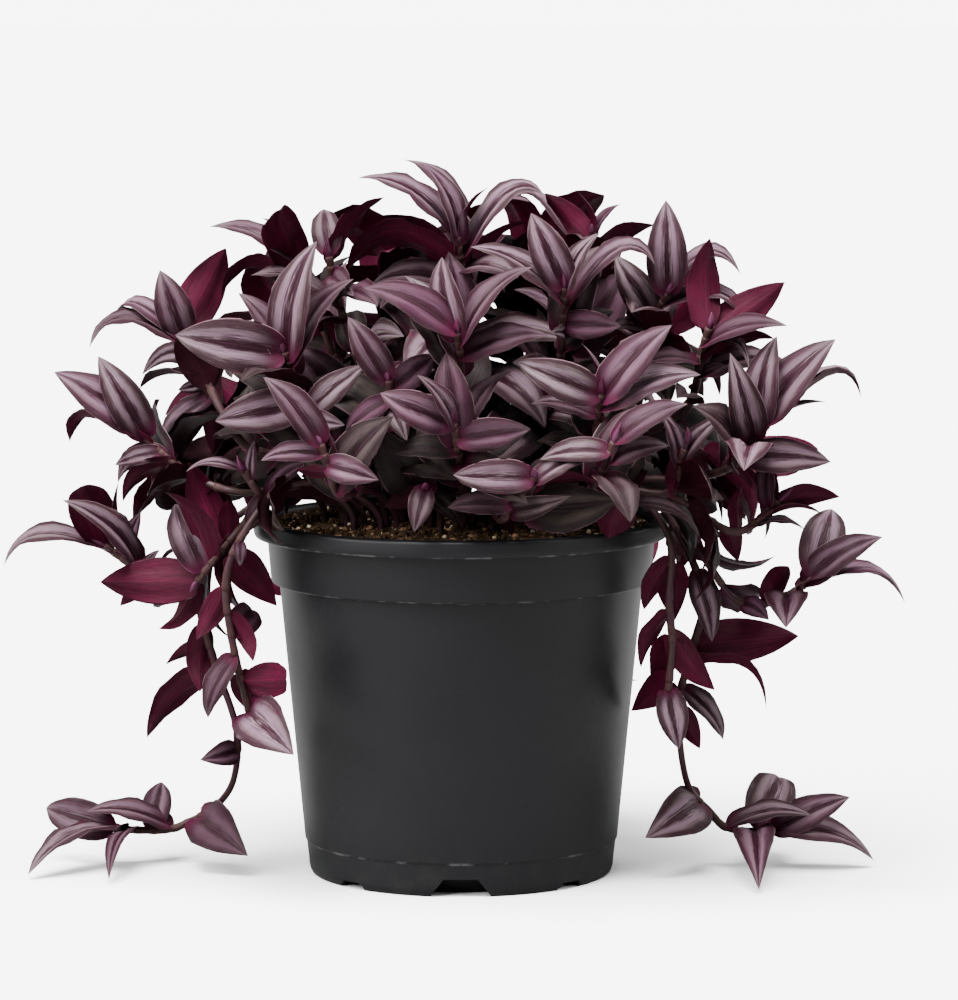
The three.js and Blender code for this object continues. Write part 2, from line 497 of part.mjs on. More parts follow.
function obstaclesCross(a, b) {
  if (!boxesMeet(a.whole, 0, b.whole, 0)) return false;
  for (let i = 0; i < a.count; i += 1) {
    if (!boxesMeet(a.boxes, 6 * i, b.whole, 0)) continue;
    for (let j = 0; j < b.count; j += 1) {
      if (!boxesMeet(a.boxes, 6 * i, b.boxes, 6 * j)) continue;
      for (let edge = 0; edge < 3; edge += 1) {
        const next = (edge + 1) % 3;
        if (edgePierces(a.corners, 9 * i + 3 * edge, 9 * i + 3 * next, b.corners, 9 * j)) return true;
        if (edgePierces(b.corners, 9 * j + 3 * edge, 9 * j + 3 * next, a.corners, 9 * i)) return true;
      }
    }
  }
  return false;
}

// Pot: turned shell, notches through the foot and drain holes above them
function makePot() {
  const cutters = [];
  for (let i = 0; i < NOTCH_COUNT; i += 1) {
    const notch = i % 2 ? SMALL_NOTCH : BIG_NOTCH;
    const outline = new THREE.Shape([
      new THREE.Vector2(-notch.bottom / 2, -1), new THREE.Vector2(notch.bottom / 2, -1),
      new THREE.Vector2(notch.top / 2, notch.height), new THREE.Vector2(-notch.top / 2, notch.height),
    ]);
    const depth = NOTCH_OUTER - NOTCH_INNER;
    const slot = new THREE.ExtrudeGeometry(outline, { depth, bevelEnabled: false });
    slot.rotateX(Math.PI / 2).translate(0, -NOTCH_INNER, 0);
    const drain = new THREE.CylinderGeometry(DRAIN_RADIUS, DRAIN_RADIUS, 8, 6);
    drain.rotateX(Math.PI / 2).translate(0, -DRAIN_CIRCLE, 10);
    for (const cutter of [slot, drain]) {
      cutters.push(solidOf(cutter.rotateZ((2 * Math.PI * i) / NOTCH_COUNT)));
    }
  }
  const shell = solidOf(latheGeometry([...POT_OUTSIDE, ...POT_INSIDE]));
  return geometryOf(shell.subtract(Manifold.union(cutters)));
}

// Leaves that are placed by rule on a growing stem: a rosette at its end and older leaves below
function ruledLeaves(seed, count, firstBack, gap) {
  const draw = drawsFrom(seed);
  const start = 2 * Math.PI * draw();
  return Array.from({ length: count }, (_, order) => ({
    back: firstBack + gap * order + 2 * draw(),
    turn: start + order * radians(GOLDEN_TURN) + 0.5 * (draw() - 0.5),
    spread: radians(34 + 11 * Math.min(order, 5) + 12 * draw()),
    droop: 0.1 + 0.25 * draw(),
    length: 41 + 4 * Math.min(order, 4) + 7 * draw(),
    slim: 0.46 + 0.1 * draw(),
  }));
}

function allShoots() {
  const shoots = FRONT_SHOOTS.map(({ name, way, leaves }, number) => ({
    name,
    way: way.map(([u, v, y]) => seen(u, v, y)),
    leaves,
    older: ruledLeaves(500 + number, 1, 26, 17),
    olderAbove: OLDER_ABOVE,
  }));
  RULED_SHOOTS.forEach(([turn, rise, reach], number) => {
    const level = Math.cos(radians(rise));
    const at = (share) => V(
      DOME.x * reach * share * level * Math.cos(radians(turn)),
      DOME.y * reach * share * level * Math.sin(radians(turn)),
      DOME.base + DOME.rise * reach * (share ** 0.7) * Math.sin(radians(rise)) + 6 * (1 - share),
    );
    const way = [at(0.72), at(1)];
    way[1].z += rise < 20 ? -6 : 8;
    shoots.push({
      name: `shoot_${turn < 180 ? "rear" : "inner"}_${number + 1}`,
      way,
      leaves: ruledLeaves(900 + number, RULED_LEAVES, FIRST_LEAF, LEAF_SPACING + 0.8),
      older: ruledLeaves(1300 + number, turn < 180 && rise > 30 ? 2 : 1, 34, 16),
      olderAbove: 0,
    });
  });
  REAR_TRAILS.forEach(([turn, low], number) => {
    const cosine = Math.cos(radians(turn));
    const sine = Math.sin(radians(turn));
    const at = (radius, height) => V(radius * cosine, radius * sine, height);
    shoots.push({
      name: `trail_rear_${number + 1}`,
      way: [at(90, 169), at(105, 158), at(110, (158 + low) / 2), at(112, low)],
      leaves: ruledLeaves(1700 + number, 9, FIRST_LEAF, 12),
      older: [],
    });
  });
  return shoots;
}

const potGeometry = makePot();
const soilSolid = solidOf(latheGeometry(SOIL_PROFILE));
const potObstacle = obstacleOf(potGeometry, "pot");
const soilObstacle = obstacleOf(geometryOf(soilSolid), "soil");

// Stems first, each on the first root that keeps it clear of the others
const shoots = allShoots();
const stemObstacles = [];
const roots = [];
for (const shoot of shoots) {
  for (let trial = 0; trial < 60 && !shoot.curve; trial += 1) {
    const { curve, root } = stemCurve(shoot, trial);
    if (roots.some((other) => other.distanceTo(root) < ROOT_SPACING)) continue;
    const swollen = obstacleOf(stemGeometry(curve, STEM_RADIUS + CLEAR), shoot.name);
    if (obstaclesCross(swollen, potObstacle)) continue;
    if (stemObstacles.some((other) => obstaclesCross(swollen, other))) continue;
    shoot.curve = curve;
    roots.push(root);
    stemObstacles.push(obstacleOf(stemGeometry(curve, STEM_RADIUS), shoot.name));
  }
}

// Then the leaves: each shoot's own list first, then its older ones. Each leaf takes its first variant
// that is clear of the pot, the soil and every other shoot, and clear of its own shoot where it can be.
const bladeObstacles = [];
function placeLeaves(shoot, leaves, lowestTip) {
  leaves.forEach((leaf, order) => {
    let chosen = null;
    for (const variant of VARIANTS) {
      const blade = bladeOf(leaf, shoot.curve, order, variant);
      if (blade.tip.z < lowestTip) continue;
      const swollen = obstacleOf(bladeGeometry(blade, CLEAR), shoot.name);
      if (swollen.whole[2] < FLOOR_CLEAR) continue;
      if (obstaclesCross(swollen, potObstacle) || obstaclesCross(swollen, soilObstacle)) continue;
      const foreign = (other) => other.owner !== shoot.name && obstaclesCross(swollen, other);
      if (stemObstacles.some(foreign) || bladeObstacles.some(foreign)) continue;
      chosen ??= blade;
      const outer = obstacleOf(bladeGeometry(blade, 0), shoot.name);
      const own = (other) => other.owner === shoot.name && obstaclesCross(outer, other);
      if (bladeObstacles.some(own)) continue;
      chosen = blade;
      break;
    }
    if (chosen) {
      shoot.blades.push(chosen);
      bladeObstacles.push(obstacleOf(bladeGeometry(chosen), shoot.name));
    }
  });
}
const grown = shoots.filter((shoot) => shoot.curve);
for (const shoot of grown) {
  shoot.blades = [];
  placeLeaves(shoot, shoot.leaves, 0);
}
for (const shoot of grown) placeLeaves(shoot, shoot.older, shoot.olderAbove);

// True if the surface stays closed when its corners are rounded to a fine grid
function staysClosed(geometry) {
  const position = geometry.getAttribute("position");
  const corner = (i) => [position.getX(i), position.getY(i), position.getZ(i)]
    .map((value) => Math.round(value / GRID)).join();
  const edges = new Map();
  for (let i = 0; i < position.count; i += 3) {
    const names = [corner(i), corner(i + 1), corner(i + 2)];
    for (let side = 0; side < 3; side += 1) {
      const edge = `${names[side]} ${names[(side + 1) % 3]}`;
      if (names[side] === names[(side + 1) % 3] || edges.has(edge)) return false;
      edges.set(edge, `${names[(side + 1) % 3]} ${names[side]}`);
    }
  }
  return [...edges.values()].every((opposite) => edges.has(opposite));
}

// One closed surface of a stem and its blades, with their roots a little deeper or shallower if need be
function fusedGeometry(shoot) {
  const stem = solidOf(stemGeometry(shoot.curve, STEM_RADIUS));
  let geometry = null;
  for (const shift of ROOT_SHIFTS) {
    const blades = shoot.blades.map((blade) => solidOf(bladeGeometry(blade, 0, shift)));
    geometry = geometryOf(Manifold.union([stem, ...blades]).simplify(WELD));
    if (staysClosed(geometry)) break;
  }
  return geometry;
}

// Group of named meshes
const group = new THREE.Group();
function addMesh(name, geometry, color, roughness) {
  const mesh = new THREE.Mesh(geometry, new THREE.MeshStandardMaterial({ color, roughness, metalness: 0 }));
  mesh.name = name;
  group.add(mesh);
}

addMesh("pot", potGeometry, 0x37383b, 0.55);

const holes = grown.map(({ curve }) => {
  const deeper = curve.points.map((point) => point.clone());
  deeper[0].z -= 0.6;
  const path = new THREE.CatmullRomCurve3(deeper, false, "catmullrom", 0.5);
  return solidOf(stemGeometry(path, STEM_RADIUS + HOLE_EXTRA));
});
addMesh("soil", geometryOf(soilSolid.subtract(Manifold.union(holes))), 0x4a382c, 0.95);

for (const shoot of grown) addMesh(shoot.name, fusedGeometry(shoot), 0x76616f, 0.45);

export default group;
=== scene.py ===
"""A potted trailing spiderwort (Tradescantia zebrina) with striped leaves, in a nursery pot.

The frame gives each leafy stem as faceted blades. This script works out the same stems and blades from
the same list and rules, in millimetres, finds for each one the trial that the frame's solids took, and
builds smooth stems and leaves there. It adds the turned pot, the potting mix, the finishes, a camera,
soft light and a pale floor.
"""

import math
from itertools import combinations

import bmesh
import bpy
import numpy as np
from mathutils import Matrix, Vector
from mathutils.kdtree import KDTree


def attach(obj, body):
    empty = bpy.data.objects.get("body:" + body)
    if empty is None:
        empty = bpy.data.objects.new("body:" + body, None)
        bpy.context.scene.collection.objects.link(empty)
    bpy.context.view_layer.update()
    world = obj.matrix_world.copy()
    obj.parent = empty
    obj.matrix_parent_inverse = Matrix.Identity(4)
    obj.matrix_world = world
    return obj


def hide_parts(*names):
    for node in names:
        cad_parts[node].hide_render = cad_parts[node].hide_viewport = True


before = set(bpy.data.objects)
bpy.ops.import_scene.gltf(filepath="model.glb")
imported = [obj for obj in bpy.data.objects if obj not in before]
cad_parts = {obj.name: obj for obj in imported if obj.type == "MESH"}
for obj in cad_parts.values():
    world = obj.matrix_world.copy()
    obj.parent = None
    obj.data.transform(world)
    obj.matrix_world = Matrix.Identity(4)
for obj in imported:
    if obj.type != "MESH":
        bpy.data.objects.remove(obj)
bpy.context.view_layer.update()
MM = 0.001

# View that the front shoots are placed from: the eye in millimetres, the height that it looks at on the
# pot's axis, the focal length in picture units, and the picture's centre and long side
EYE = np.array([8.2, -2050.0, 400.0])
LOOK_HEIGHT = 171
PITCH = math.atan2(EYE[2] - LOOK_HEIGHT, -EYE[1])
FOCAL = 4503.8
CENTRE_U, CENTRE_V = 479, 500
PICTURE_LONG_SIDE = 1000
SENSOR = 36.0

# Stems, as in the solids: radius, longest facet, and how many points are tried for the one nearest a leaf.
# A stem starts in the soil, a share of the way out to its first way point, and each further trial moves
# its root along a spiral and lifts the way point by one of three steps
STEM_RADIUS = 1.8
STEM_STEP = 25
STEM_SAMPLES = 80
ROOT_DEPTH = 149
ROOT_LIMIT, ROOT_MARGIN = 74, 12
ROOT_SHARE = 0.55
ROOT_TRIALS = 60
SPIRAL_STEP, SPIRAL_TURN = 5, 2.4
LIFT_STEP = 3
SOIL_EXIT = 170.0
LEAD_SHARE, LEAD_RISE = 0.45, 7

# Blades, as in the solids: ribs above and below, fold of both halves and bow of the middle line
RIB_ABOVE, RIB_BELOW = 0.6, 0.8
FOLD = 0.14
BOW = 0.2
# Least width for the length, and least length for the width seen, up to the longest one guessed
SLENDER = 0.42
STOUT = 2.0
LONGEST_GUESS = 56
# First leaf's distance from the stem's end, and the least spacing of the next few
FIRST_LEAF = 1.6
LEAF_SPACING = 4.5
SPACED_LEAVES = 6
# Lowest height of a tip, and the rise from which a direction counts as upright
LOWEST_TIP = 2.4
UPRIGHT = 0.97
# Shares of the length where a broad blade and a plain one have corners, and the width in picture units
# over which a blade is broad
BROAD_STATIONS = (0.25, 0.5, 0.78)
PLAIN_STATIONS = (0.3, 0.7)
BROAD_WIDTH = 33
# Variants tried for a blade: shrunk, its tip moved in depth, and rolled, in degrees
SHRINKS = (1, 0.88, 0.76)
MOVES = (0, -7, 7, -14, 14, -22, 22, -30, 30)
ROLLS = (0, 20, -20)
VARIANTS = [(shrink, move, math.radians(roll)) for shrink in SHRINKS for move in MOVES for roll in ROLLS]

# Front shoots: name, way along the stem as (u, v, depth), leaves as (tip u, tip v, base u, base v,
# width, face seen, middle u, middle v). Face U is the silver upper side, B the burgundy underside.
FRONT_SHOOTS = [
    ("shoot_upper_left", [(240, 440, -42), (196, 358, -28), (178, 332, -22)], [
     (226, 248, 178, 331, 45, "B"), (160, 270, 175, 325, 38, "U"),
     (117, 318, 175, 328, 8, "U", 140, 308), (89, 349, 177, 334, 14, "U", 128, 323)]),
    ("shoot_left", [(245, 506, -48), (200, 480, -42), (155, 447, -36), (140, 427, -34)], [
     (54, 372, 135, 425, 42, "U"), (98, 356, 150, 430, 40, "U"), (70, 442, 130, 429, 14, "B", 92, 421),
     (115, 465, 148, 428, 20, "U"), (118, 483, 158, 447, 14, "U", 138, 456),
     (123, 502, 168, 462, 16, "B", 143, 474)]),
    ("shoot_left_rear", [(250, 440, 0), (208, 392, 6), (193, 363, 8)], [
     (142, 375, 193, 363, 20, "U", 170, 353), (165, 415, 200, 390, 22, "B"),
     (178, 390, 209, 378, 14, "U"), (160, 448, 205, 400, 25, "U"), (213, 455, 215, 405, 28, "B")]),
    ("shoot_left_centre", [(320, 430, -60), (295, 380, -76), (284, 350, -82)], [
     (175, 335, 282, 352, 54, "U"), (317, 241, 286, 344, 42, "U"), (354, 279, 293, 362, 27, "U"),
     (238, 293, 281, 337, 22, "U")]),
    ("shoot_top_left", [(345, 390, -22), (318, 310, -34), (298, 262, -40)], [
     (209, 227, 288, 262, 20, "U"), (282, 209, 300, 262, 45, "B"), (262, 218, 292, 262, 12, "B"),
     (221, 297, 290, 275, 10, "B", 255, 268)]),
    ("shoot_top_left_inner", [(365, 380, -44), (338, 300, -54), (328, 254, -60)], [
     (324, 209, 327, 250, 31, "U"), (385, 197, 328, 252, 28, "B"), (354, 296, 332, 258, 30, "U")]),
    ("shoot_top", [(474, 340, -30), (462, 270, -48), (456, 235, -55)], [
     (358, 178, 452, 234, 23, "U"), (422, 163, 452, 232, 32, "U"), (489, 187, 460, 232, 12, "B"),
     (543, 194, 461, 238, 20, "U", 506, 200), (345, 276, 452, 240, 20, "B", 394, 240),
     (529, 222, 463, 240, 14, "B"), (375, 216, 446, 240, 18, "B"), (457, 206, 457, 232, 9, "U")]),
    ("shoot_centre", [(462, 410, -76), (460, 360, -92), (457, 330, -100)], [
     (364, 288, 455, 333, 36, "U"), (442, 257, 457, 312, 37, "U"), (533, 267, 462, 325, 24, "U"),
     (548, 336, 457, 340, 30, "U"), (405, 276, 450, 320, 16, "U")]),
    ("shoot_right_centre", [(556, 390, -54), (563, 320, -72), (565, 285, -80)], [
     (531, 213, 564, 282, 40, "U"), (600, 233, 567, 280, 22, "U"), (470, 247, 560, 293, 24, "U"),
     (655, 265, 568, 282, 17, "U", 618, 254), (621, 326, 573, 293, 30, "U"),
     (551, 332, 562, 297, 18, "U")]),
    ("shoot_top_right", [(578, 340, -8), (588, 270, -18), (592, 232, -22)], [
     (545, 193, 588, 240, 28, "B"), (577, 192, 590, 235, 12, "B"), (621, 204, 597, 230, 12, "U"),
     (656, 225, 600, 235, 20, "B"), (512, 201, 575, 240, 10, "U", 540, 208)]),
    ("shoot_right_upper", [(636, 410, -30), (652, 325, -50), (669, 292, -58)], [
     (666, 200, 670, 290, 42, "U"), (741, 275, 672, 290, 13, "U", 705, 258),
     (747, 330, 670, 294, 14, "U", 715, 297), (615, 255, 660, 300, 36, "U")]),
    ("shoot_right_upper_front", [(686, 410, -52), (702, 350, -64), (710, 326, -68)], [
     (710, 238, 712, 325, 35, "B"), (785, 282, 714, 318, 38, "B"), (788, 326, 716, 322, 10, "U"),
     (775, 339, 712, 332, 10, "B"), (749, 368, 708, 340, 10, "U", 732, 346),
     (727, 366, 706, 342, 9, "U"), (693, 305, 708, 338, 11, "U"), (704, 396, 704, 348, 18, "B")]),
    ("shoot_right", [(690, 492, -60), (738, 462, -72), (764, 421, -78)], [
     (836, 339, 770, 413, 42, "U"), (777, 336, 765, 415, 42, "U"), (730, 353, 757, 425, 34, "U"),
     (744, 471, 760, 424, 50, "U"), (831, 462, 766, 420, 36, "U"), (827, 402, 770, 412, 10, "U"),
     (861, 398, 770, 410, 8, "U", 822, 384), (752, 490, 742, 455, 9, "B")]),
    ("shoot_right_low", [(676, 505, -52), (735, 532, -56), (780, 500, -58)], [
     (840, 497, 783, 500, 23, "B"), (778, 443, 780, 497, 20, "U"), (761, 453, 775, 502, 11, "B"),
     (823, 515, 782, 503, 8, "U"), (805, 530, 776, 507, 9, "U"), (742, 486, 766, 512, 16, "B"),
     (738, 562, 748, 524, 24, "B")]),
    ("shoot_far_right", [(660, 500, -26), (700, 552, -34), (742, 604, -38), (785, 596, -40),
     (815, 577, -40)], [
     (832, 509, 815, 572, 46, "U"), (883, 537, 819, 573, 32, "U"),
     (905, 604, 818, 578, 10, "U", 862, 575), (786, 628, 803, 584, 44, "U"),
     (788, 566, 765, 596, 26, "B"), (769, 620, 742, 604, 22, "U")]),
    ("shoot_right_inner", [(668, 500, -62), (680, 465, -72), (688, 440, -76)], [
     (672, 500, 688, 452, 18, "B"), (706, 482, 690, 444, 28, "B"), (724, 418, 690, 438, 20, "U"),
     (660, 412, 686, 438, 20, "U")]),
    ("shoot_front_left", [(340, 495, -90), (328, 468, -101), (320, 442, -104)], [
     (263, 377, 320, 438, 34, "U"), (261, 461, 312, 438, 22, "U"), (379, 480, 322, 445, 30, "U"),
     (296, 470, 318, 450, 14, "B"), (318, 422, 320, 440, 9, "U")]),
    ("shoot_front_left_upper", [(330, 455, -70), (312, 422, -82), (304, 400, -86)], [
     (215, 421, 296, 400, 44, "U"), (365, 365, 312, 402, 30, "U"), (345, 425, 308, 406, 24, "U")]),
    ("shoot_front_middle_left", [(404, 455, -74), (392, 405, -90), (388, 378, -96)], [
     (348, 317, 388, 378, 34, "U"), (434, 356, 393, 382, 30, "U"), (345, 436, 386, 392, 22, "U"),
     (407, 441, 390, 398, 24, "U")]),
    ("shoot_front_middle", [(462, 490, -84), (458, 450, -100), (452, 418, -108)], [
     (380, 393, 450, 425, 38, "U"), (417, 375, 452, 412, 20, "U"), (531, 429, 455, 425, 34, "U"),
     (446, 352, 452, 410, 44, "U"), (514, 370, 458, 412, 24, "U")]),
    ("shoot_front_middle_right", [(584, 475, -72), (598, 420, -90), (602, 390, -98)], [
     (516, 361, 600, 395, 40, "U"), (672, 325, 602, 385, 40, "U"), (701, 375, 602, 398, 34, "U"),
     (531, 404, 595, 405, 20, "U"), (581, 343, 600, 385, 14, "U")]),
    ("shoot_front_right", [(574, 512, -86), (592, 488, -98), (604, 468, -106), (615, 440, -110)], [
     (688, 404, 622, 440, 28, "U"), (540, 460, 612, 445, 26, "U"), (669, 446, 618, 446, 24, "U"),
     (633, 408, 616, 438, 14, "U"), (634, 507, 608, 466, 24, "B")]),
    ("shoot_front_centre", [(521, 510, -90), (530, 490, -106), (535, 475, -113)], [
     (453, 475, 530, 474, 36, "U"), (597, 457, 538, 475, 22, "U"), (426, 474, 475, 486, 18, "B"),
     (600, 484, 537, 478, 14, "B"), (545, 456, 536, 474, 10, "U")]),
    ("shoot_front_low", [(500, 520, -84), (514, 503, -98)], [
     (447, 508, 512, 502, 26, "U"), (571, 496, 518, 505, 26, "U"), (512, 536, 514, 506, 20, "B")]),
    ("shoot_front_low_left", [(420, 508, -80), (425, 487, -98)], [
     (414, 532, 424, 487, 26, "U"), (384, 507, 420, 492, 22, "B"), (460, 526, 428, 492, 18, "U")]),
    ("shoot_front_low_right", [(610, 520, -68), (620, 502, -84)], [
     (608, 538, 614, 500, 44, "B"), (700, 538, 624, 508, 12, "U", 664, 513),
     (648, 470, 622, 500, 20, "B")]),
    ("shoot_left_rim", [(275, 505, -56), (262, 495, -62), (243, 470, -66)], [
     (186, 472, 240, 466, 10, "U"), (255, 440, 245, 470, 14, "U"), (247, 532, 266, 502, 22, "U"),
     (317, 465, 268, 500, 16, "U"), (335, 506, 274, 505, 20, "B")]),
    ("shoot_far_left", [(264, 500, -18), (230, 545, -24), (195, 572, -28), (150, 574, -28),
     (103, 545, -24)], [
     (82, 486, 97, 547, 46, "B"), (4, 566, 90, 543, 16, "U", 46, 541), (141, 512, 105, 547, 20, "U"),
     (160, 550, 143, 572, 10, "U"), (62, 500, 96, 545, 18, "U"), (120, 606, 150, 578, 20, "B")]),
    ("shoot_left_low", [(272, 497, -46), (228, 543, -52), (196, 583, -52)], [
     (100, 582, 190, 598, 48, "B"), (175, 504, 195, 568, 42, "U"), (163, 492, 196, 560, 22, "B"),
     (190, 463, 214, 545, 40, "B"), (157, 571, 193, 575, 14, "U"), (228, 500, 226, 545, 22, "B"),
     (222, 590, 205, 570, 20, "B")]),
    ("trail_left_front", [(282, 494, -62), (243, 535, -66), (226, 580, -64), (233, 645, -58),
     (250, 715, -54)], [
     (294, 755, 246, 722, 54, "U"), (252, 610, 224, 640, 34, "U"), (277, 606, 240, 560, 38, "B"),
     (286, 679, 236, 680, 36, "B"), (264, 721, 238, 690, 30, "B"), (253, 662, 236, 612, 20, "B"),
     (208, 718, 240, 716, 25, "U"), (240, 566, 238, 538, 14, "U"), (196, 640, 226, 590, 26, "B")]),
    ("trail_left", [(262, 499, -34), (207, 545, -38), (197, 592, -34), (214, 660, -30),
     (236, 727, -22), (234, 778, -6), (216, 806, 6), (190, 821, 14), (165, 830, 16), (112, 829, 12)], [
     (46, 808, 108, 829, 40, "U"), (28, 875, 110, 830, 18, "U"), (109, 880, 122, 829, 18, "U"),
     (162, 782, 147, 829, 30, "U"), (248, 856, 200, 814, 50, "U"), (147, 738, 206, 672, 30, "B"),
     (200, 692, 203, 622, 28, "B"), (165, 665, 202, 650, 12, "B"), (86, 812, 112, 828, 12, "U"),
     (200, 760, 236, 750, 26, "U")]),
    ("trail_right", [(652, 498, -18), (688, 552, -28), (703, 600, -32), (692, 650, -32),
     (679, 700, -30), (681, 752, -22), (690, 790, -8), (707, 808, 2), (730, 829, 6), (786, 832, -2)], [
     (779, 777, 760, 832, 50, "U"), (850, 797, 785, 830, 34, "U"), (874, 861, 787, 832, 26, "U"),
     (759, 890, 775, 832, 42, "U"), (645, 838, 700, 800, 50, "U"), (799, 636, 706, 650, 46, "B"),
     (712, 642, 700, 572, 30, "U"), (766, 710, 692, 668, 9, "U", 742, 668),
     (723, 740, 684, 690, 22, "U"), (700, 749, 681, 706, 24, "B"), (812, 816, 788, 831, 12, "U"),
     (708, 563, 690, 520, 36, "B")]),
    ("trail_right_inner", [(640, 494, -44), (670, 540, -52), (669, 600, -50), (672, 645, -48),
     (668, 694, -46)], [
     (679, 749, 670, 692, 32, "U"), (631, 711, 667, 696, 34, "B"), (674, 622, 672, 566, 34, "B"),
     (652, 688, 671, 640, 34, "B"), (644, 610, 668, 556, 22, "B"), (715, 690, 674, 630, 32, "B"),
     (641, 668, 669, 610, 18, "B")]),
]

# Shoots whose leaves are mostly silver, and the least tone of those leaves, on a scale from 0 to 1
PALE_SHOOTS = ("shoot_left", "shoot_left_rear", "shoot_top", "shoot_right_upper", "shoot_rear_3",
               "shoot_rear_8", "trail_right")
PALE_TONE = 0.5

# Rear, upper and inner shoots: turn about Z, rise above the soil, reach of the dome
RULED_SHOOTS = [
    (8, 12, 1), (38, 8, 1), (69, 14, 1), (101, 8, 1), (132, 14, 1), (163, 9, 1), (22, 38, 1),
    (62, 41, 1), (106, 38, 1), (150, 41, 1), (44, 66, 1), (128, 66, 1), (276, 86, 1), (200, 50, 0.72),
    (232, 30, 0.68), (268, 58, 0.72), (300, 32, 0.68), (335, 52, 0.72),
]
DOME = {"x": 132, "y": 116, "base": 172, "rise": 116}
# Their way points: shares of the reach, the power and lift that bend the way upwards, and how far the
# tips of level shoots drop and those of the others rise
WAY_SHARES, WAY_POWER, WAY_LIFT = (0.72, 1), 0.7, 6
LEVEL_RISE, LEVEL_TIP, RISING_TIP = 20, -6, 8
# Rear stems that hang over the rim: turn about Z, height of the tip. Their way goes out over the rim, as
# radius and height, then down at two more radii
REAR_TRAILS = [(62, 70), (118, 96)]
OVER_RIM = ((90, 169), (105, 158))
HANGING_RADII = (110, 112)
# Leaves placed by rule: least spread from the stem in degrees, droop, length and width for the length,
# with what each further leaf adds, up to how many, and what a draw adds at most
RULED_LEAVES, TRAIL_LEAVES = 5, 9
RULED_SPACING, TRAIL_SPACING = LEAF_SPACING + 0.8, 12
GOLDEN_TURN = 137.5
BACK_DRAW, TURN_DRAW = 2, 0.5
SPREAD, SPREAD_EACH, SPREAD_STEPS, SPREAD_DRAW = 34, 11, 5, 12
DROOP, DROOP_DRAW = 0.1, 0.25
LENGTH, LENGTH_EACH, LENGTH_STEPS, LENGTH_DRAW = 41, 4, 4, 7
SLIM, SLIM_DRAW = 0.46, 0.1
# Older leaves: distance from the stem's end and spacing, on front shoots and on the others, and the rise
# over which a rear shoot has two
FRONT_OLDER, OTHER_OLDER = (26, 17), (34, 16)
TWO_OLDER_RISE = 30
# Seeds of the draws for each set of leaves, to which a shoot's number is added
FRONT_SEED, RULED_SEED, OLDER_SEED, TRAIL_SEED, FOLIAGE_SEED = 500, 900, 1300, 1700, 4000


def draws_from(seed):
    """Repeatable draws between 0 and 1, with the same whole-number mixing as the solids."""
    state = seed & 0xFFFFFFFF

    def draw():
        nonlocal state
        state = (state + 0x6D2B79F5) & 0xFFFFFFFF
        mixed = ((state ^ (state >> 15)) * (state | 1)) & 0xFFFFFFFF
        mixed = ((mixed + (mixed ^ (mixed >> 7)) * (mixed | 61)) & 0xFFFFFFFF) ^ mixed
        return (mixed ^ (mixed >> 14)) / 4294967296

    return draw


def unit(vector):
    """Vector of length one in the same direction."""
    return vector / max(float(np.linalg.norm(vector)), 1e-12)


def seen(u, v, y):
    """Point at depth y that is seen at picture position (u, v)."""
    right, down = u - CENTRE_U, v - CENTRE_V
    ahead = FOCAL * math.cos(PITCH) - down * math.sin(PITCH)
    rise = -FOCAL * math.sin(PITCH) - down * math.cos(PITCH)
    reach = (y - EYE[1]) / ahead
    return np.array([EYE[0] + right * reach, y, EYE[2] + rise * reach])


def turned(vector, axis, angle):
    """Vector turned about a unit axis."""
    return (vector * math.cos(angle) + np.cross(axis, vector) * math.sin(angle)
            + axis * axis.dot(vector) * (1 - math.cos(angle)))


class Path:
    """Uniform Catmull-Rom curve through points, read by its share of length.

    Between two points a and b it is the cubic that leaves a along half the step from the point before a
    to b, and reaches b along half the step from a to the point after b.
    """

    DIVISIONS = 200

    def __init__(self, points):
        points = np.array(points, float)
        ends = 2 * points[:1] - points[1:2], 2 * points[-1:] - points[-2:-1]
        self.points = np.concatenate([ends[0], points, ends[1]])
        self.table = self.at(np.linspace(0, 1, self.DIVISIONS + 1))
        steps = np.linalg.norm(np.diff(self.table, axis=0), axis=1)
        self.lengths = np.concatenate([[0], np.cumsum(steps)])
        self.length = float(self.lengths[-1])

    def at(self, t):
        """Points at parameters t from 0 to 1, which take each span between two points as equal."""
        last = len(self.points) - 3
        place = np.asarray(t, float) * last
        i = np.minimum(np.floor(place).astype(int), last - 1)
        w = (place - i)[:, None]
        before, a, b, after = (self.points[i + k] for k in range(4))
        ta, tb = 0.5 * (b - before), 0.5 * (after - a)
        return a + ta * w + (-3 * a + 3 * b - 2 * ta - tb) * w * w + (2 * a - 2 * b + ta + tb) * w ** 3

    def shares(self, u):
        """Points at shares u of the length."""
        place = np.interp(np.asarray(u, float) * self.length, self.lengths, np.arange(self.DIVISIONS + 1))
        return self.at(place / self.DIVISIONS)

    def share(self, u):
        """Point at one share of the length."""
        return self.shares([u])[0]

    def spaced(self, count):
        """Points at even steps of length, one more than the count."""
        return self.shares(np.arange(count + 1) / count)


def share_within(value):
    """Value held between 0 and 1."""
    return min(max(value, 0), 1)


def clamp_length(vector, most):
    """Vector made no longer than a given length."""
    length = float(np.linalg.norm(vector))
    return vector * min(1, most / length) if length else vector


def stem_path(way, trial):
    """Stem curve of a shoot: out of its hole in the soil and over to its way points."""
    first = way[0].copy()
    reach, turn = SPIRAL_STEP * math.sqrt(trial), SPIRAL_TURN * trial
    root = clamp_length(first[:2] * ROOT_SHARE, ROOT_LIMIT - ROOT_MARGIN)
    root = clamp_length(root + reach * np.array([math.cos(turn), math.sin(turn)]), ROOT_LIMIT)
    first[2] += LIFT_STEP * (trial % 3)
    leaving = np.array([root[0], root[1], SOIL_EXIT])
    lead = leaving + (first - leaving) * LEAD_SHARE
    lead[2] += LEAD_RISE
    return Path([(root[0], root[1], ROOT_DEPTH), leaving, lead, first, *way[1:]])


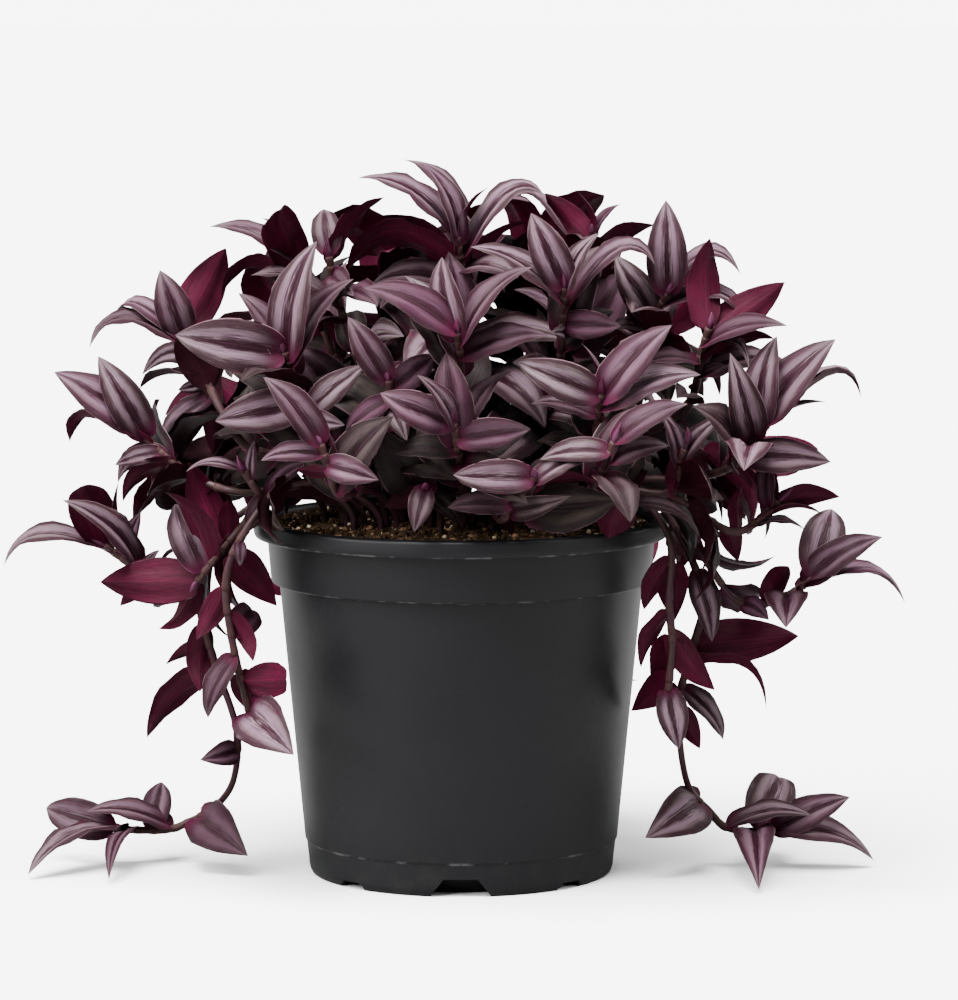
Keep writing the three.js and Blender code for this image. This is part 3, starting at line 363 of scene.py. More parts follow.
def leaf_foot(path, corners, back):
    """Foot of a leaf, inside the faceted stem and counted back from its end: point, direction and share."""
    steps = len(corners) - 1
    place = steps * min(max(1 - back / path.length, 0), 0.9999)
    piece = int(place)
    along = corners[piece + 1] - corners[piece]
    return corners[piece] + along * (place - piece), unit(along), place / steps


def nearest_back(path, u, v):
    """Length from the stem's end back to its point nearest the view ray through picture position (u, v)."""
    points = path.spaced(STEM_SAMPLES)
    ray = seen(u, v, 0.0) - EYE
    on_ray = EYE + ray * ((points[:, 1:2] - EYE[1]) / ray[1])
    gaps = np.linalg.norm(points - on_ray, axis=1)
    return path.length * (1 - int(np.argmin(gaps)) / STEM_SAMPLES)


def seen_blade(leaf, foot, variant):
    """Blade placed from the view: the outline seen stays, the depth of the tip follows from the form.

    A leaf whose outline looks short for its width points towards the eye or away, and one that looks
    narrow is turned edge on. A variant moves the tip in depth, rolls the blade and shrinks it, its length
    half as much as its width.
    """
    shrink, move, roll = variant
    tip_u, tip_v, _, _, wide, face = leaf[:6]
    base, _, share = foot
    flat_tip = seen(tip_u, tip_v, base[1])
    flat = float(np.linalg.norm(flat_tip - base))
    seen_width = wide * float(np.linalg.norm(flat_tip - EYE)) / FOCAL
    length = max(flat, min(seen_width * STOUT, LONGEST_GUESS))
    width = max(seen_width, SLENDER * length) * shrink
    upward = 1 if flat_tip[2] > base[2] else -1
    side = 1 if face == "U" else -1
    deeper = upward * side * math.sqrt(max(0, length * length - flat * flat))
    tip = seen(tip_u, tip_v, base[1] + deeper + move)
    if tip[2] < LOWEST_TIP:
        tip = EYE + (tip - EYE) * (EYE[2] - LOWEST_TIP) / (EYE[2] - tip[2])
    tip = base + (tip - base) * (0.5 + 0.5 * shrink)
    axis = unit(tip - base)
    middle = (base + tip) / 2
    to_eye = unit(EYE - middle)
    facing = unit(to_eye - axis * to_eye.dot(axis))
    across = np.cross(axis, facing)
    cosine = min(1, seen_width / max(seen_width, SLENDER * length))
    sine = math.sqrt(max(0, 1 - cosine * cosine))
    lean = 1 if across[2] >= 0 else -1
    control = None
    if len(leaf) > 6:
        control = seen(leaf[6], leaf[7], (base[1] + tip[1]) / 2) * 2 - middle
        lean = 1 if across.dot(control - middle) >= 0 else -1
    up = facing * side * cosine + across * lean * sine
    up = unit(turned(up, axis, roll))
    if control is None:
        control = middle + up * BOW * float(np.linalg.norm(tip - base))
    control[2] = max(control[2], LOWEST_TIP)
    stations = BROAD_STATIONS if wide > BROAD_WIDTH else PLAIN_STATIONS
    return dict(base=base, control=control, tip=tip, up=up, width=width, stations=stations, share=share)


def ruled_blade(leaf, foot, variant):
    """Blade placed by rule: a turn about the stem and a spread away from its direction."""
    shrink, move, roll = variant
    base, along, share = foot
    level = np.array([1.0, 0, 0]) if abs(along[2]) > UPRIGHT else np.array([0, 0, 1.0])
    first = unit(np.cross(along, level))
    second = np.cross(along, first)
    turn, spread = leaf["turn"] + roll, leaf["spread"] + math.radians(move)
    direction = (along * math.cos(spread) + first * math.cos(turn) * math.sin(spread)
                 + second * math.sin(turn) * math.sin(spread))
    direction[2] -= leaf["droop"]
    direction = unit(direction)
    length = leaf["length"] * shrink
    tip = base + direction * length
    up = unit(along - direction * along.dot(direction))
    control = (base + tip) / 2 + up * BOW * length
    return dict(base=base, control=control, tip=tip, up=up, width=leaf["slim"] * length,
                stations=PLAIN_STATIONS, share=share)


def blade_shape(t):
    """Half width at share t of the length, as a share of the widest: the root of t, which rounds the
    base, times one less t to a power near one, which draws out the tip. It is widest at a third."""
    return 2.49 * np.sqrt(t) * (1 - t) ** 0.9


def blade_corners(blade):
    """Outer corners of the faceted blade: both edges and both ribs at its stations, and the tip."""
    base, control, tip = blade["base"], blade["control"], blade["tip"]
    points = [tip]
    for t in blade["stations"]:
        centre = (1 - t) ** 2 * base + 2 * t * (1 - t) * control + t * t * tip
        along = unit((1 - t) * (control - base) + t * (tip - control))
        across = unit(np.cross(along, blade["up"]))
        above = np.cross(across, along)
        half = blade["width"] / 2 * float(blade_shape(t))
        rise = above * FOLD * half
        points += [centre - across * half + rise, centre + across * half + rise,
                   centre + above * RIB_ABOVE, centre - above * RIB_BELOW]
    return np.array(points)


def ruled_leaves(seed, count, first_back, gap):
    """Leaves in golden turns about a stem, each farther from its end, longer and more spread."""
    draw = draws_from(seed)
    start = 2 * math.pi * draw()
    leaves = []
    for order in range(count):
        back = first_back + gap * order + BACK_DRAW * draw()
        turn = start + order * math.radians(GOLDEN_TURN) + TURN_DRAW * (draw() - 0.5)
        spread = math.radians(SPREAD + SPREAD_EACH * min(order, SPREAD_STEPS) + SPREAD_DRAW * draw())
        droop = DROOP + DROOP_DRAW * draw()
        length = LENGTH + LENGTH_EACH * min(order, LENGTH_STEPS) + LENGTH_DRAW * draw()
        leaves.append(dict(back=back, turn=turn, spread=spread, droop=droop, length=length,
                           slim=SLIM + SLIM_DRAW * draw()))
    return leaves


def all_shoots():
    """Name, way points, own leaves and older leaves of every shoot, in the solids' order."""
    shoots = []
    for number, (name, way, leaves) in enumerate(FRONT_SHOOTS):
        shoots.append((name, [seen(*point) for point in way], leaves,
                       ruled_leaves(FRONT_SEED + number, 1, *FRONT_OLDER)))
    for number, (turn, rise, reach) in enumerate(RULED_SHOOTS):
        level, lift = math.cos(math.radians(rise)), math.sin(math.radians(rise))
        around = np.array([DOME["x"] * math.cos(math.radians(turn)),
                           DOME["y"] * math.sin(math.radians(turn))])
        way = []
        for share in WAY_SHARES:
            x, y = around * reach * share * level
            way.append(np.array([x, y, DOME["base"] + DOME["rise"] * reach * share ** WAY_POWER * lift
                                 + WAY_LIFT * (1 - share)]))
        way[1][2] += LEVEL_TIP if rise < LEVEL_RISE else RISING_TIP
        is_rear = turn < 180
        older_count = 2 if is_rear and rise > TWO_OLDER_RISE else 1
        shoots.append((f"shoot_{'rear' if is_rear else 'inner'}_{number + 1}", way,
                       ruled_leaves(RULED_SEED + number, RULED_LEAVES, FIRST_LEAF, RULED_SPACING),
                       ruled_leaves(OLDER_SEED + number, older_count, *OTHER_OLDER)))
    for number, (turn, low) in enumerate(REAR_TRAILS):
        cosine, sine = math.cos(math.radians(turn)), math.sin(math.radians(turn))
        half_way = (OVER_RIM[-1][1] + low) / 2
        way = [np.array([r * cosine, r * sine, z])
               for r, z in (*OVER_RIM, (HANGING_RADII[0], half_way), (HANGING_RADII[1], low))]
        shoots.append((f"trail_rear_{number + 1}", way,
                       ruled_leaves(TRAIL_SEED + number, TRAIL_LEAVES, FIRST_LEAF, TRAIL_SPACING), []))
    return shoots


def node_tree(node):
    """Search tree of a CAD node's corners, in millimetres."""
    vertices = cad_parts[node].data.vertices
    tree = KDTree(len(vertices))
    for vertex in vertices:
        tree.insert(vertex.co / MM, vertex.index)
    tree.balance()
    return tree


# How far off a point still counts as one of the node's corners, and a ring as one of its stem's
CORNER_SLACK, RING_SLACK = 0.02, 0.05


def matches(tree, points):
    """How many of the points are corners of the node."""
    return sum(tree.find(Vector(point))[2] < CORNER_SLACK for point in points)


def find_stem(way, tree):
    """The stem trial whose lowest ring is among the node's corners."""
    best = (0, None, None)
    for trial in range(ROOT_TRIALS):
        path = stem_path(way, trial)
        corners = path.spaced(math.ceil(path.length / STEM_STEP))
        gaps = [abs(tree.find(Vector(corner))[2] - STEM_RADIUS) for corner in corners[:3]]
        if gaps[0] > RING_SLACK:
            continue
        score = sum(gap < RING_SLACK for gap in gaps)
        if score > best[0]:
            best = (score, path, corners)
    return best[1], best[2]


def find_blade(leaf, path, corners, order, tree):
    """The variant of a leaf with most of its corners among the node's, or None where none has two."""
    if isinstance(leaf, dict):
        place_blade, back = ruled_blade, leaf["back"]
    else:
        place_blade, back = seen_blade, nearest_back(path, leaf[2], leaf[3])
        back = max(back, FIRST_LEAF + LEAF_SPACING * min(order, SPACED_LEAVES))
    foot = leaf_foot(path, corners, back)
    best, chosen = 1, None
    for variant in VARIANTS:
        blade = place_blade(leaf, foot, variant)
        points = blade_corners(blade)
        score = matches(tree, points)
        if score > best:
            best, chosen = score, blade
        if score == len(points):
            break
    return chosen


def blade_line(blade, t):
    """Points and unit directions of the quadratic middle line at shares t: base, control, tip."""
    base, control, tip = blade["base"], blade["control"], blade["tip"]
    t = np.asarray(t)[:, None]
    points = (1 - t) ** 2 * base + 2 * t * (1 - t) * control + t * t * tip
    along = (1 - t) * (control - base) + t * (tip - control)
    return points, along / np.linalg.norm(along, axis=1, keepdims=True)


def strip_faces(rows, columns, first):
    """Quads between neighbouring rings of corners, closed round."""
    r, c = np.meshgrid(np.arange(rows - 1), np.arange(columns), indexing="ij")
    r, c = r.ravel(), c.ravel()
    here, after = r * columns + c, r * columns + (c + 1) % columns
    return first + np.stack([here, after, after + columns, here + columns], 1)


def uv_rows(*corners):
    """UV pairs of many faces at once: each corner is given as its first and its second values."""
    return np.stack([np.stack(np.broadcast_arrays(*corner), -1) for corner in corners], 1)


class Skin:
    """One mesh gathered from closed tubes of rings, each with its material, UVs and three face values."""

    VALUES = ("upper", "tone", "age_and_shade")

    def __init__(self):
        self.corners, self.loops, self.sizes, self.uvs, self.slots, self.values = [], [], [], [], [], []
        self.count = 0

    def tube(self, rings, ends, along, across, slot, values):
        """Rings (rows, columns, 3) joined by quads, closed by a fan to each of the two end points.

        along holds the first UV value at the start point, each ring and the end point. across holds the
        second one at each column and once more for the column after the last. values is one row of
        face values for each column.
        """
        rows, columns = rings.shape[:2]
        start, end = rows * columns, rows * columns + 1
        r, c = np.meshgrid(np.arange(rows - 1), np.arange(columns), indexing="ij")
        r, c = r.ravel(), c.ravel()
        quads = strip_faces(rows, columns, 0)
        one = np.arange(columns)
        two = (one + 1) % columns
        first = np.stack([np.full(columns, start), two, one], 1)
        last = np.stack([(rows - 1) * columns + one, (rows - 1) * columns + two, np.full(columns, end)], 1)
        inner = along[1:-1]
        left, right, middle = across[:-1], across[1:], (across[:-1] + across[1:]) / 2
        quad_uvs = uv_rows((inner[r], left[c]), (inner[r], right[c]),
                           (inner[r + 1], right[c]), (inner[r + 1], left[c]))
        first_uvs = uv_rows((along[0], middle), (inner[0], right), (inner[0], left))
        last_uvs = uv_rows((inner[-1], left), (inner[-1], right), (along[-1], middle))
        self.corners.append(np.concatenate([rings.reshape(-1, 3), ends]))
        for faces, uvs, owner in ((quads, quad_uvs, c), (first, first_uvs, one), (last, last_uvs, one)):
            self.loops.append((faces + self.count).ravel())
            self.sizes.append(np.full(len(faces), faces.shape[1]))
            self.uvs.append(uvs.reshape(-1, 2))
            self.slots.append(np.full(len(faces), slot))
            self.values.append(np.asarray(values, float)[owner])
        self.count += rows * columns + 2

    def piece(self, name, materials):
        """The gathered tubes as one smooth-shaded mesh object."""
        corners, loops = np.concatenate(self.corners) * MM, np.concatenate(self.loops)
        sizes = np.concatenate(self.sizes)
        mesh = bpy.data.meshes.new(name)
        mesh.vertices.add(len(corners))
        mesh.vertices.foreach_set("co", corners.ravel())
        mesh.loops.add(len(loops))
        mesh.loops.foreach_set("vertex_index", loops)
        mesh.polygons.add(len(sizes))
        mesh.polygons.foreach_set("loop_start", np.concatenate([[0], np.cumsum(sizes)[:-1]]))
        mesh.update(calc_edges=True)
        for material in materials:
            mesh.materials.append(material)
        mesh.polygons.foreach_set("material_index", np.concatenate(self.slots))
        mesh.polygons.foreach_set("use_smooth", np.ones(len(sizes), bool))
        layer = mesh.uv_layers.new(name="along_across")
        layer.data.foreach_set("uv", np.concatenate(self.uvs).ravel())
        values = np.concatenate(self.values)
        for column, value_name in enumerate(self.VALUES):
            attribute = mesh.attributes.new(value_name, "FLOAT", "FACE")
            attribute.data.foreach_set("value", values[:, column].copy())
        mesh.validate()
        piece = bpy.data.objects.new(name, mesh)
        bpy.context.scene.collection.objects.link(piece)
        return piece


# Numbers of a foliage piece's materials
LEAF, STEM, SHEATH, BUD = range(4)

# Shares of a leaf's length where it has rings, closer together at both ends, and columns from edge to edge
LEAF_ROWS, LEAF_COLUMNS = 15, 8
LEAF_SHARES = (1 - np.cos(np.linspace(0, math.pi, LEAF_ROWS + 1))) / 2
LEAF_ACROSS = np.sin(np.linspace(-1, 1, LEAF_COLUMNS + 1) * math.pi / 2)
# Thickness of a leaf, and in half widths the fold of its halves and the bulge of each
LEAF_THICKNESS = 0.5
LEAF_FOLD = 0.24
BULGE = 0.16
# Cup round the stem: its depth in half widths, and the share of the length where it ends
CUP, CUP_END = 0.5, 0.2
# Mean rise of the arch for the length, its least share and its draw, and what makes t squared times one
# less t reach one at its highest
ARCH, ARCH_LEAST, ARCH_DRAW, ARCH_SCALE = 0.045, 0.6, 0.8, 6.75
# Middle vein below: how far it stands out at the base, and half its width
KEEL, KEEL_REACH = 0.45, 0.8
# Waves along the edges: least count and height in half widths, each with its draw, and the draw of the
# phase, with the lag of one edge behind the other
WAVES, WAVES_DRAW = 1.6, 1.6
WAVE, WAVE_DRAW = 0.05, 0.08
PHASE_DRAW, EDGE_LAG = 6.3, 1.9


def leaf_outline(t, breadth):
    """Half width at share t of the length, as a share of the widest.

    It is t to a low power, which rounds the base, times one less t to a higher power, which draws out the
    tip. A leaf that is broad for its length has a rounder base and fuller sides.
    """
    full = share_within((breadth - 0.3) / 0.2)
    base, sides = 0.45 - 0.1 * full, 1.05 + 1.1 * full
    widest = (base / (base + sides)) ** (1 / sides)
    return (t / widest) ** base * (1 - t ** sides) / (1 - widest ** sides)


def carried_along(directions, normal):
    """Unit normals square to each of a row of directions, each turned as little as can be from the last."""
    normals = []
    for direction in directions:
        normal = unit(normal - direction * direction.dot(normal))
        normals.append(normal)
    return np.array(normals)


def add_leaf(skin, blade, draw, least_tone):
    """Leaf round the quadratic middle line of its blade, as a flattened tube of rings.

    At share t of the length and s from -1 to 1 across, the middle sheet is the middle line's point, raised
    by an arch that is highest at two thirds, plus s half widths across, plus a lift: the fold times |s|,
    a bulge of each half, a wave that grows to the edges and a cup round the stem at the base. Half the
    thickness goes up and half down, thinning to the edges, and the middle vein stands out below.
    """
    t, s = LEAF_SHARES[1:-1], LEAF_ACROSS
    points, along = blade_line(blade, t)
    length = float(np.linalg.norm(blade["tip"] - blade["base"]))
    arch = ARCH * length * (ARCH_LEAST + ARCH_DRAW * draw())
    points = points + (arch * ARCH_SCALE * t ** 2 * (1 - t))[:, None] * blade["up"]
    along = along + (arch / length * ARCH_SCALE * (2 * t - 3 * t ** 2))[:, None] * blade["up"]
    along /= np.linalg.norm(along, axis=1, keepdims=True)
    above = carried_along(along, blade["up"])
    across = np.cross(along, above)
    half = (blade["width"] / 2 * leaf_outline(t, blade["width"] / length))[:, None]
    t, s = t[:, None], s[None, :]
    waves, wave, phase = WAVES + WAVES_DRAW * draw(), WAVE + WAVE_DRAW * draw(), PHASE_DRAW * draw()
    lift = LEAF_FOLD * half * np.abs(s)
    lift = lift + BULGE * half * np.sin(math.pi * np.abs(s) ** 0.8) * np.sin(math.pi * t) ** 0.5
    ripple = np.sin(phase + waves * 2 * math.pi * t + EDGE_LAG * np.sign(s))
    lift = lift + half * wave * np.abs(s) ** 3 * ripple
    lift = lift + half * CUP * s * s * np.clip(1 - t / CUP_END, 0, 1) ** 1.5
    thin = LEAF_THICKNESS / 2 * (1 - 0.9 * np.abs(s) ** 3) * np.clip(8 * (1 - t), 0.1, 1)
    keel = KEEL * (1 - t) * np.exp(-((s * half / KEEL_REACH) ** 2))
    sheet = points[:, None] + (half * s)[:, :, None] * across[:, None]
    upper = sheet + (lift + thin)[:, :, None] * above[:, None]
    lower = sheet + (lift - thin - keel)[:, :, None] * above[:, None]
    rings = np.concatenate([upper, lower[:, -2:0:-1]], 1)
    ring_across = np.concatenate([LEAF_ACROSS, LEAF_ACROSS[-2:0:-1], LEAF_ACROSS[:1]])
    is_upper = np.concatenate([np.ones(LEAF_COLUMNS), np.zeros(LEAF_COLUMNS)])
    tone = least_tone + (1 - least_tone) * draw()
    same = np.ones(2 * LEAF_COLUMNS)
    values = np.stack([is_upper, tone * same, blade["age_and_shade"] * same], 1)
    skin.tube(rings, np.array([blade["base"], blade["tip"]]), LEAF_SHARES, ring_across, LEAF, values)


# Round tubes: share of the end rings' radius that the closing points stand out, and any direction that
# no stem has, to start the first ring from
TUBE_END = 0.3
ASKEW = (0.31, 0.9, 0.2)
TUBE_AGE = 0.5


def add_round_tube(skin, centres, radii, slot, sides, tone):
    """Round tube: rings of the given radii stand square to a line of centres, with their start carried on
    from ring to ring, and a point closes each end."""
    centres, radii = np.asarray(centres, float), np.asarray(radii, float)
    directions = np.gradient(centres, axis=0)
    directions /= np.linalg.norm(directions, axis=1, keepdims=True)
    normals = carried_along(directions, np.cross(directions[0], ASKEW))
    seconds = np.cross(directions, normals)
    turns = 2 * math.pi * np.arange(sides) / sides
    rings = centres[:, None] + radii[:, None, None] * (
        np.cos(turns)[None, :, None] * normals[:, None] + np.sin(turns)[None, :, None] * seconds[:, None])
    ends = np.array([centres[0] - directions[0] * TUBE_END * radii[0],
                     centres[-1] + directions[-1] * TUBE_END * radii[-1]])
    reach = np.concatenate([[0], np.cumsum(np.linalg.norm(np.diff(centres, axis=0), axis=1))])
    along = np.concatenate([reach[:1] - TUBE_END, reach, reach[-1:] + TUBE_END])
    values = np.tile([0.0, tone, TUBE_AGE], (sides, 1))
    skin.tube(rings, ends, along, np.arange(sides + 1) / sides, slot, values)


# Smooth stem: gap between its rings, columns round it, and radius
STEM_RING_GAP = 3.0
STEM_COLUMNS = 10
SMOOTH_RADIUS = 1.6
# A stem loses a share of its radius over a length at its end, and swells a little below each leaf
TAPER, TAPER_LENGTH = 0.2, 26
SWELLING, SWELLING_BELOW, SWELLING_REACH = 0.35, 7, 2.2
# Sheath: the longest it gets below its leaf, how far it reaches past the joint, and its radii
SHEATH_LENGTH, SHEATH_PAST = 8.0, 0.6
SHEATH_RADII = (1.5, 1.72, 1.8, 1.88, 2.0, 1.8)
# Furled young leaf: how deep it starts in the stem, its length with its draw, how far it leans, its
# columns and radii
BUD_ROOT, BUD_LENGTH, BUD_LENGTH_DRAW = 1.5, 6, 3
BUD_LEAN, BUD_COLUMNS = 2.2, 8
BUD_RADII = (1.3, 1.6, 1.75, 1.5, 1.1, 0.6, 0.15)


def add_stem(skin, path, blades, draw):
    """Round stem with a sheath below each leaf and a furled young leaf at the end.

    Its radius falls evenly over the last stretch, and a bell curve below each joint adds a swelling.
    """
    count = max(8, int(path.length / STEM_RING_GAP))
    places = np.linspace(0, path.length, count + 1)
    joints = np.array([blade["share"] * path.length for blade in blades])
    past = (places - path.length + TAPER_LENGTH) / TAPER_LENGTH
    radii = SMOOTH_RADIUS * (1 - TAPER * np.clip(past, 0, 1))
    away = (places[:, None] - joints[None, :] + SWELLING_BELOW) / SWELLING_REACH
    radii += SWELLING * np.exp(-(away ** 2)).max(axis=1)
    add_round_tube(skin, path.spaced(count), radii, STEM, STEM_COLUMNS, draw())
    for joint in joints:
        older = joints[joints < joint - 0.5]
        gap = joint - older.max() if len(older) else SHEATH_LENGTH
        low = max(joint - min(SHEATH_LENGTH, 0.8 * gap + 1), 1)
        high = min(joint + SHEATH_PAST, path.length)
        centres = path.shares(np.linspace(low, high, len(SHEATH_RADII)) / path.length)
        add_round_tube(skin, centres, SHEATH_RADII, SHEATH, STEM_COLUMNS, draw())
    tip = path.share(1)
    heading = unit(tip - path.share(1 - 4 / path.length))
    lean = unit(np.array([draw() - 0.5, draw() - 0.5, draw() - 0.3]))
    reach = BUD_LENGTH + BUD_LENGTH_DRAW * draw()
    steps = np.linspace(0, 1, len(BUD_RADII))[:, None]
    centres = tip - heading * BUD_ROOT + heading * reach * steps + lean * BUD_LEAN * steps * steps
    add_round_tube(skin, centres, BUD_RADII, BUD, BUD_COLUMNS, draw())


# Pot profile as (radius, height, rounding of the corner), from the groove under the foot round the
# outside and rim to the floor, and the raised middle of the base
HOLE_CIRCLE, HOLE_RADIUS = 62.8, 3.2
GROOVE_CEILING, FLOOR_LEVEL = 8.4, 10.6
WALL_SEAM, BASE_SEAM = 64.6, 61
POT_WALL = [
    (WALL_SEAM, GROOVE_CEILING, 0), (66.4, GROOVE_CEILING, 0.3), (66.8, 0, 0.4), (69, 0, 0.6),
    (70.4, 2.6, 1.5), (71.3, 14.8, 0.3), (72, 15.7, 0.4), (83.3, 134.3, 0.5), (87, 134.5, 0.9),
    (88.8, 155.2, 0.4), (94.3, 155.3, 0.7), (95, 157, 1.2), (95, 163, 1.5), (88, 163, 1.0),
    (86.8, 161, 0.8), (85.1, 136.4, 2.0), (81.5, 132.6, 2.0), (70.1, 17, 3.0),
    (68.2, FLOOR_LEVEL, 1.0), (WALL_SEAM, FLOOR_LEVEL, 0)]
POT_BASE = [
    (0.001, 0, 0), (58, 0, 0.4), (59.2, GROOVE_CEILING, 0.3), (BASE_SEAM, GROOVE_CEILING, 0),
    (BASE_SEAM, FLOOR_LEVEL, 0), (57.4, FLOOR_LEVEL, 0.5), (56.4, 2.4, 0.5), (0.001, 2.2, 0)]
# Columns round it, and the angle in degrees over which its edges stay sharp
POT_COLUMNS, POT_SHARP = 240, 40
# Drain notches, big and small in turn, as (height, width at the top, width at the bottom)
NOTCH_COUNT = 8
BIG_NOTCH = (8.2, 15.2, 28)
SMALL_NOTCH = (3.2, 10, 15)
NOTCH_CIRCLE = 70.0
# Columns across a drain hole, steps round each corner of the profiles, and their longest straight step
HOLE_STEPS = 12
ROUND_STEPS = 4
LONGEST_STEP = 14
# Heights of the edges that get a pale line, partly scuffs and partly painted highlight: the foot's step,
# the collar's and the rim's lower edges
SCUFF_AND_HIGHLIGHT_EDGES = (15.2, 134.4, 155.5)


def rounded_profile(profile):
    """Profile points with each corner replaced by a short curve, and long straight runs divided.

    The curve is the quadratic from a point before the corner, pulled by the corner, to one after it.
    """
    corners = np.array([point[:2] for point in profile], float)
    points = [corners[0]]
    for before, corner, after, (_, _, reach) in zip(corners, corners[1:], corners[2:], profile[1:]):
        if not reach:
            points.append(corner)
            continue
        one = corner + unit(before - corner) * min(reach, np.linalg.norm(before - corner) / 2.2)
        two = corner + unit(after - corner) * min(reach, np.linalg.norm(after - corner) / 2.2)
        for w in np.linspace(0, 1, ROUND_STEPS + 1):
            points.append((1 - w) ** 2 * one + 2 * w * (1 - w) * corner + w * w * two)
    points.append(corners[-1])
    divided = [points[0]]
    for point in points[1:]:
        steps = max(1, math.ceil(np.linalg.norm(point - divided[-1]) / LONGEST_STEP))
        start = divided[-1]
        divided += [start + (point - start) * (i + 1) / steps for i in range(steps)]
    return np.array(divided)


def pot_angles():
    """Angles of the pot's columns: even ones, the corners of each notch and the sides of each hole."""
    angles = [2 * math.pi * i / POT_COLUMNS for i in range(POT_COLUMNS)]
    for i in range(NOTCH_COUNT):
        centre = 2 * math.pi * i / NOTCH_COUNT
        _, top, bottom = SMALL_NOTCH if i % 2 else BIG_NOTCH
        angles += [centre + side * width / 2 / NOTCH_CIRCLE for width in (top, bottom) for side in (-1, 1)]
        angles += [centre + HOLE_RADIUS * math.cos(math.pi * k / HOLE_STEPS) / HOLE_CIRCLE
                   for k in range(HOLE_STEPS + 1)]
    angles = np.unique(np.round(np.mod(np.array(angles), 2 * math.pi), 6))
    return angles[np.append(np.diff(angles) > 2e-5, True)]


def notch_lift(angles):
    """Height of the foot's lower edge: level in a notch, straight down both its flanks, else zero."""
    lift = np.zeros_like(angles)
    for i in range(NOTCH_COUNT):
        height, top, bottom = SMALL_NOTCH if i % 2 else BIG_NOTCH
        away = np.abs(np.mod(angles - 2 * math.pi * i / NOTCH_COUNT + math.pi, 2 * math.pi) - math.pi)
        share = (bottom / 2 - away * NOTCH_CIRCLE) / (bottom / 2 - top / 2)
        lift = np.maximum(lift, height * np.clip(share, 0, 1))
    return lift


def hole_reach(angles):
    """Half the opening of a drain hole, measured along the radius, at each angle: zero beside it."""
    apart = 2 * math.pi / NOTCH_COUNT
    away = np.abs(np.mod(angles + apart / 2, apart) - apart / 2) * HOLE_CIRCLE
    return np.sqrt(np.clip(HOLE_RADIUS ** 2 - away ** 2, 0, None)) * (away < HOLE_RADIUS - 1e-3)


def mesh_piece(name, corners, faces, materials, sharp_over=None):
    """Mesh object of millimetre corners, with equal corners merged and its faces turned outwards."""
    mesh = bpy.data.meshes.new(name)
    mesh.from_pydata((np.asarray(corners) * MM).tolist(), [], [tuple(face) for face in faces])
    work = bmesh.new()
    work.from_mesh(mesh)
    bmesh.ops.remove_doubles(work, verts=work.verts, dist=2e-6)
    bmesh.ops.recalc_face_normals(work, faces=work.faces)
    work.to_mesh(mesh)
    work.free()
    for material in materials:
        mesh.materials.append(material)
    mesh.polygons.foreach_set("use_smooth", np.ones(len(mesh.polygons), bool))
    if sharp_over:
        mesh.set_sharp_from_angle(angle=math.radians(sharp_over))
    piece = bpy.data.objects.new(name, mesh)
    bpy.context.scene.collection.objects.link(piece)
    return piece


def make_pot(material):
    """Pot: the profiles of wall and base carried round the axis, which meet on the drain holes' circle.

    Wall corners are (r cos a, r sin a, z), with z raised to the notch height under the foot. On the holes'
    circle r parts into circle plus and minus the hole's reach, and a short wall joins both levels there.
    """
    angles = pot_angles()
    lift, reach = notch_lift(angles), hole_reach(angles)
    turn = angles - math.pi / 2
    corners, faces, first = [], [], 0
    for profile, side, seam in ((POT_WALL, 1, WALL_SEAM), (POT_BASE, -1, BASE_SEAM)):
        line = rounded_profile(profile)
        radius = np.repeat(line[:, :1], len(angles), 1)
        height = np.repeat(line[:, 1:], len(angles), 1)
        at_seam = np.abs(line[:, 0] - seam) < 1e-6
        radius[at_seam] = HOLE_CIRCLE + side * reach
        if side > 0:
            height = np.maximum(height, np.where(height < GROOVE_CEILING - 0.01, lift[None, :], 0))
        corners.append(np.stack([radius * np.cos(turn), radius * np.sin(turn), height], 2).reshape(-1, 3))
        strips = strip_faces(len(line), len(angles), first)
        seams = np.flatnonzero(at_seam)
        if side > 0:
            low, high = first + seams[0] * len(angles), first + seams[-1] * len(angles)
            column = np.arange(len(angles))
            after = (column + 1) % len(angles)
            wall = np.stack([low + column, low + after, high + after, high + column], 1)
            strips = np.concatenate([strips, wall[(reach + reach[after]) > 0]])
        else:
            gap_start = seams[0] * len(angles)
            inside = np.arange(gap_start, gap_start + len(angles))
            closed = (reach + np.roll(reach, -1)) <= 0
            keep = np.ones(len(strips), bool)
            keep[inside[closed]] = False
            strips = strips[keep]
        faces.append(strips)
        first += len(line) * len(angles)
    return mesh_piece("nursery_pot", np.concatenate(corners), np.concatenate(faces), [material], POT_SHARP)


# Potting mix: side profile as (radius, height) from the middle below to under the edge of the top, radii
# and heights of the mound, and the waves that roughen it
SOIL_REACH = 86.3
SOIL_LINE = [(0.001, 2.55), (55.9, 2.75), (56.9, 10.95), (67.9, 10.95), (69.7, 17), (81.1, 132.8),
             (84.7, 136.6), (SOIL_REACH, 157.6)]
MOUND_RADII, MOUND_HEIGHTS = (0, 50, SOIL_REACH), (165.2, 163.2, 159.4)
SOIL_ROWS, SOIL_COLUMNS = 90, 260
SOIL_WAVES, SOIL_WAVE_SEED = 90, 77
SHORTEST_WAVE, WAVE_RANGE, WAVE_HEIGHT = 2.6, 24, 0.018


def soil_bumps(x, y):
    """Height of the crumbly top: many short seeded waves in all directions, added up."""
    draw = draws_from(SOIL_WAVE_SEED)
    height = np.zeros_like(x)
    for order in range(SOIL_WAVES):
        length = SHORTEST_WAVE + WAVE_RANGE * (order / SOIL_WAVES) ** 2
        turn, phase = 2 * math.pi * draw(), 2 * math.pi * draw()
        height += WAVE_HEIGHT * length ** 0.8 * np.sin(
            2 * math.pi * (x * math.cos(turn) + y * math.sin(turn)) / length + phase)
    return height


def soil_top(radius):
    """Smooth height of the mound at a radius."""
    return np.interp(radius, MOUND_RADII, MOUND_HEIGHTS)


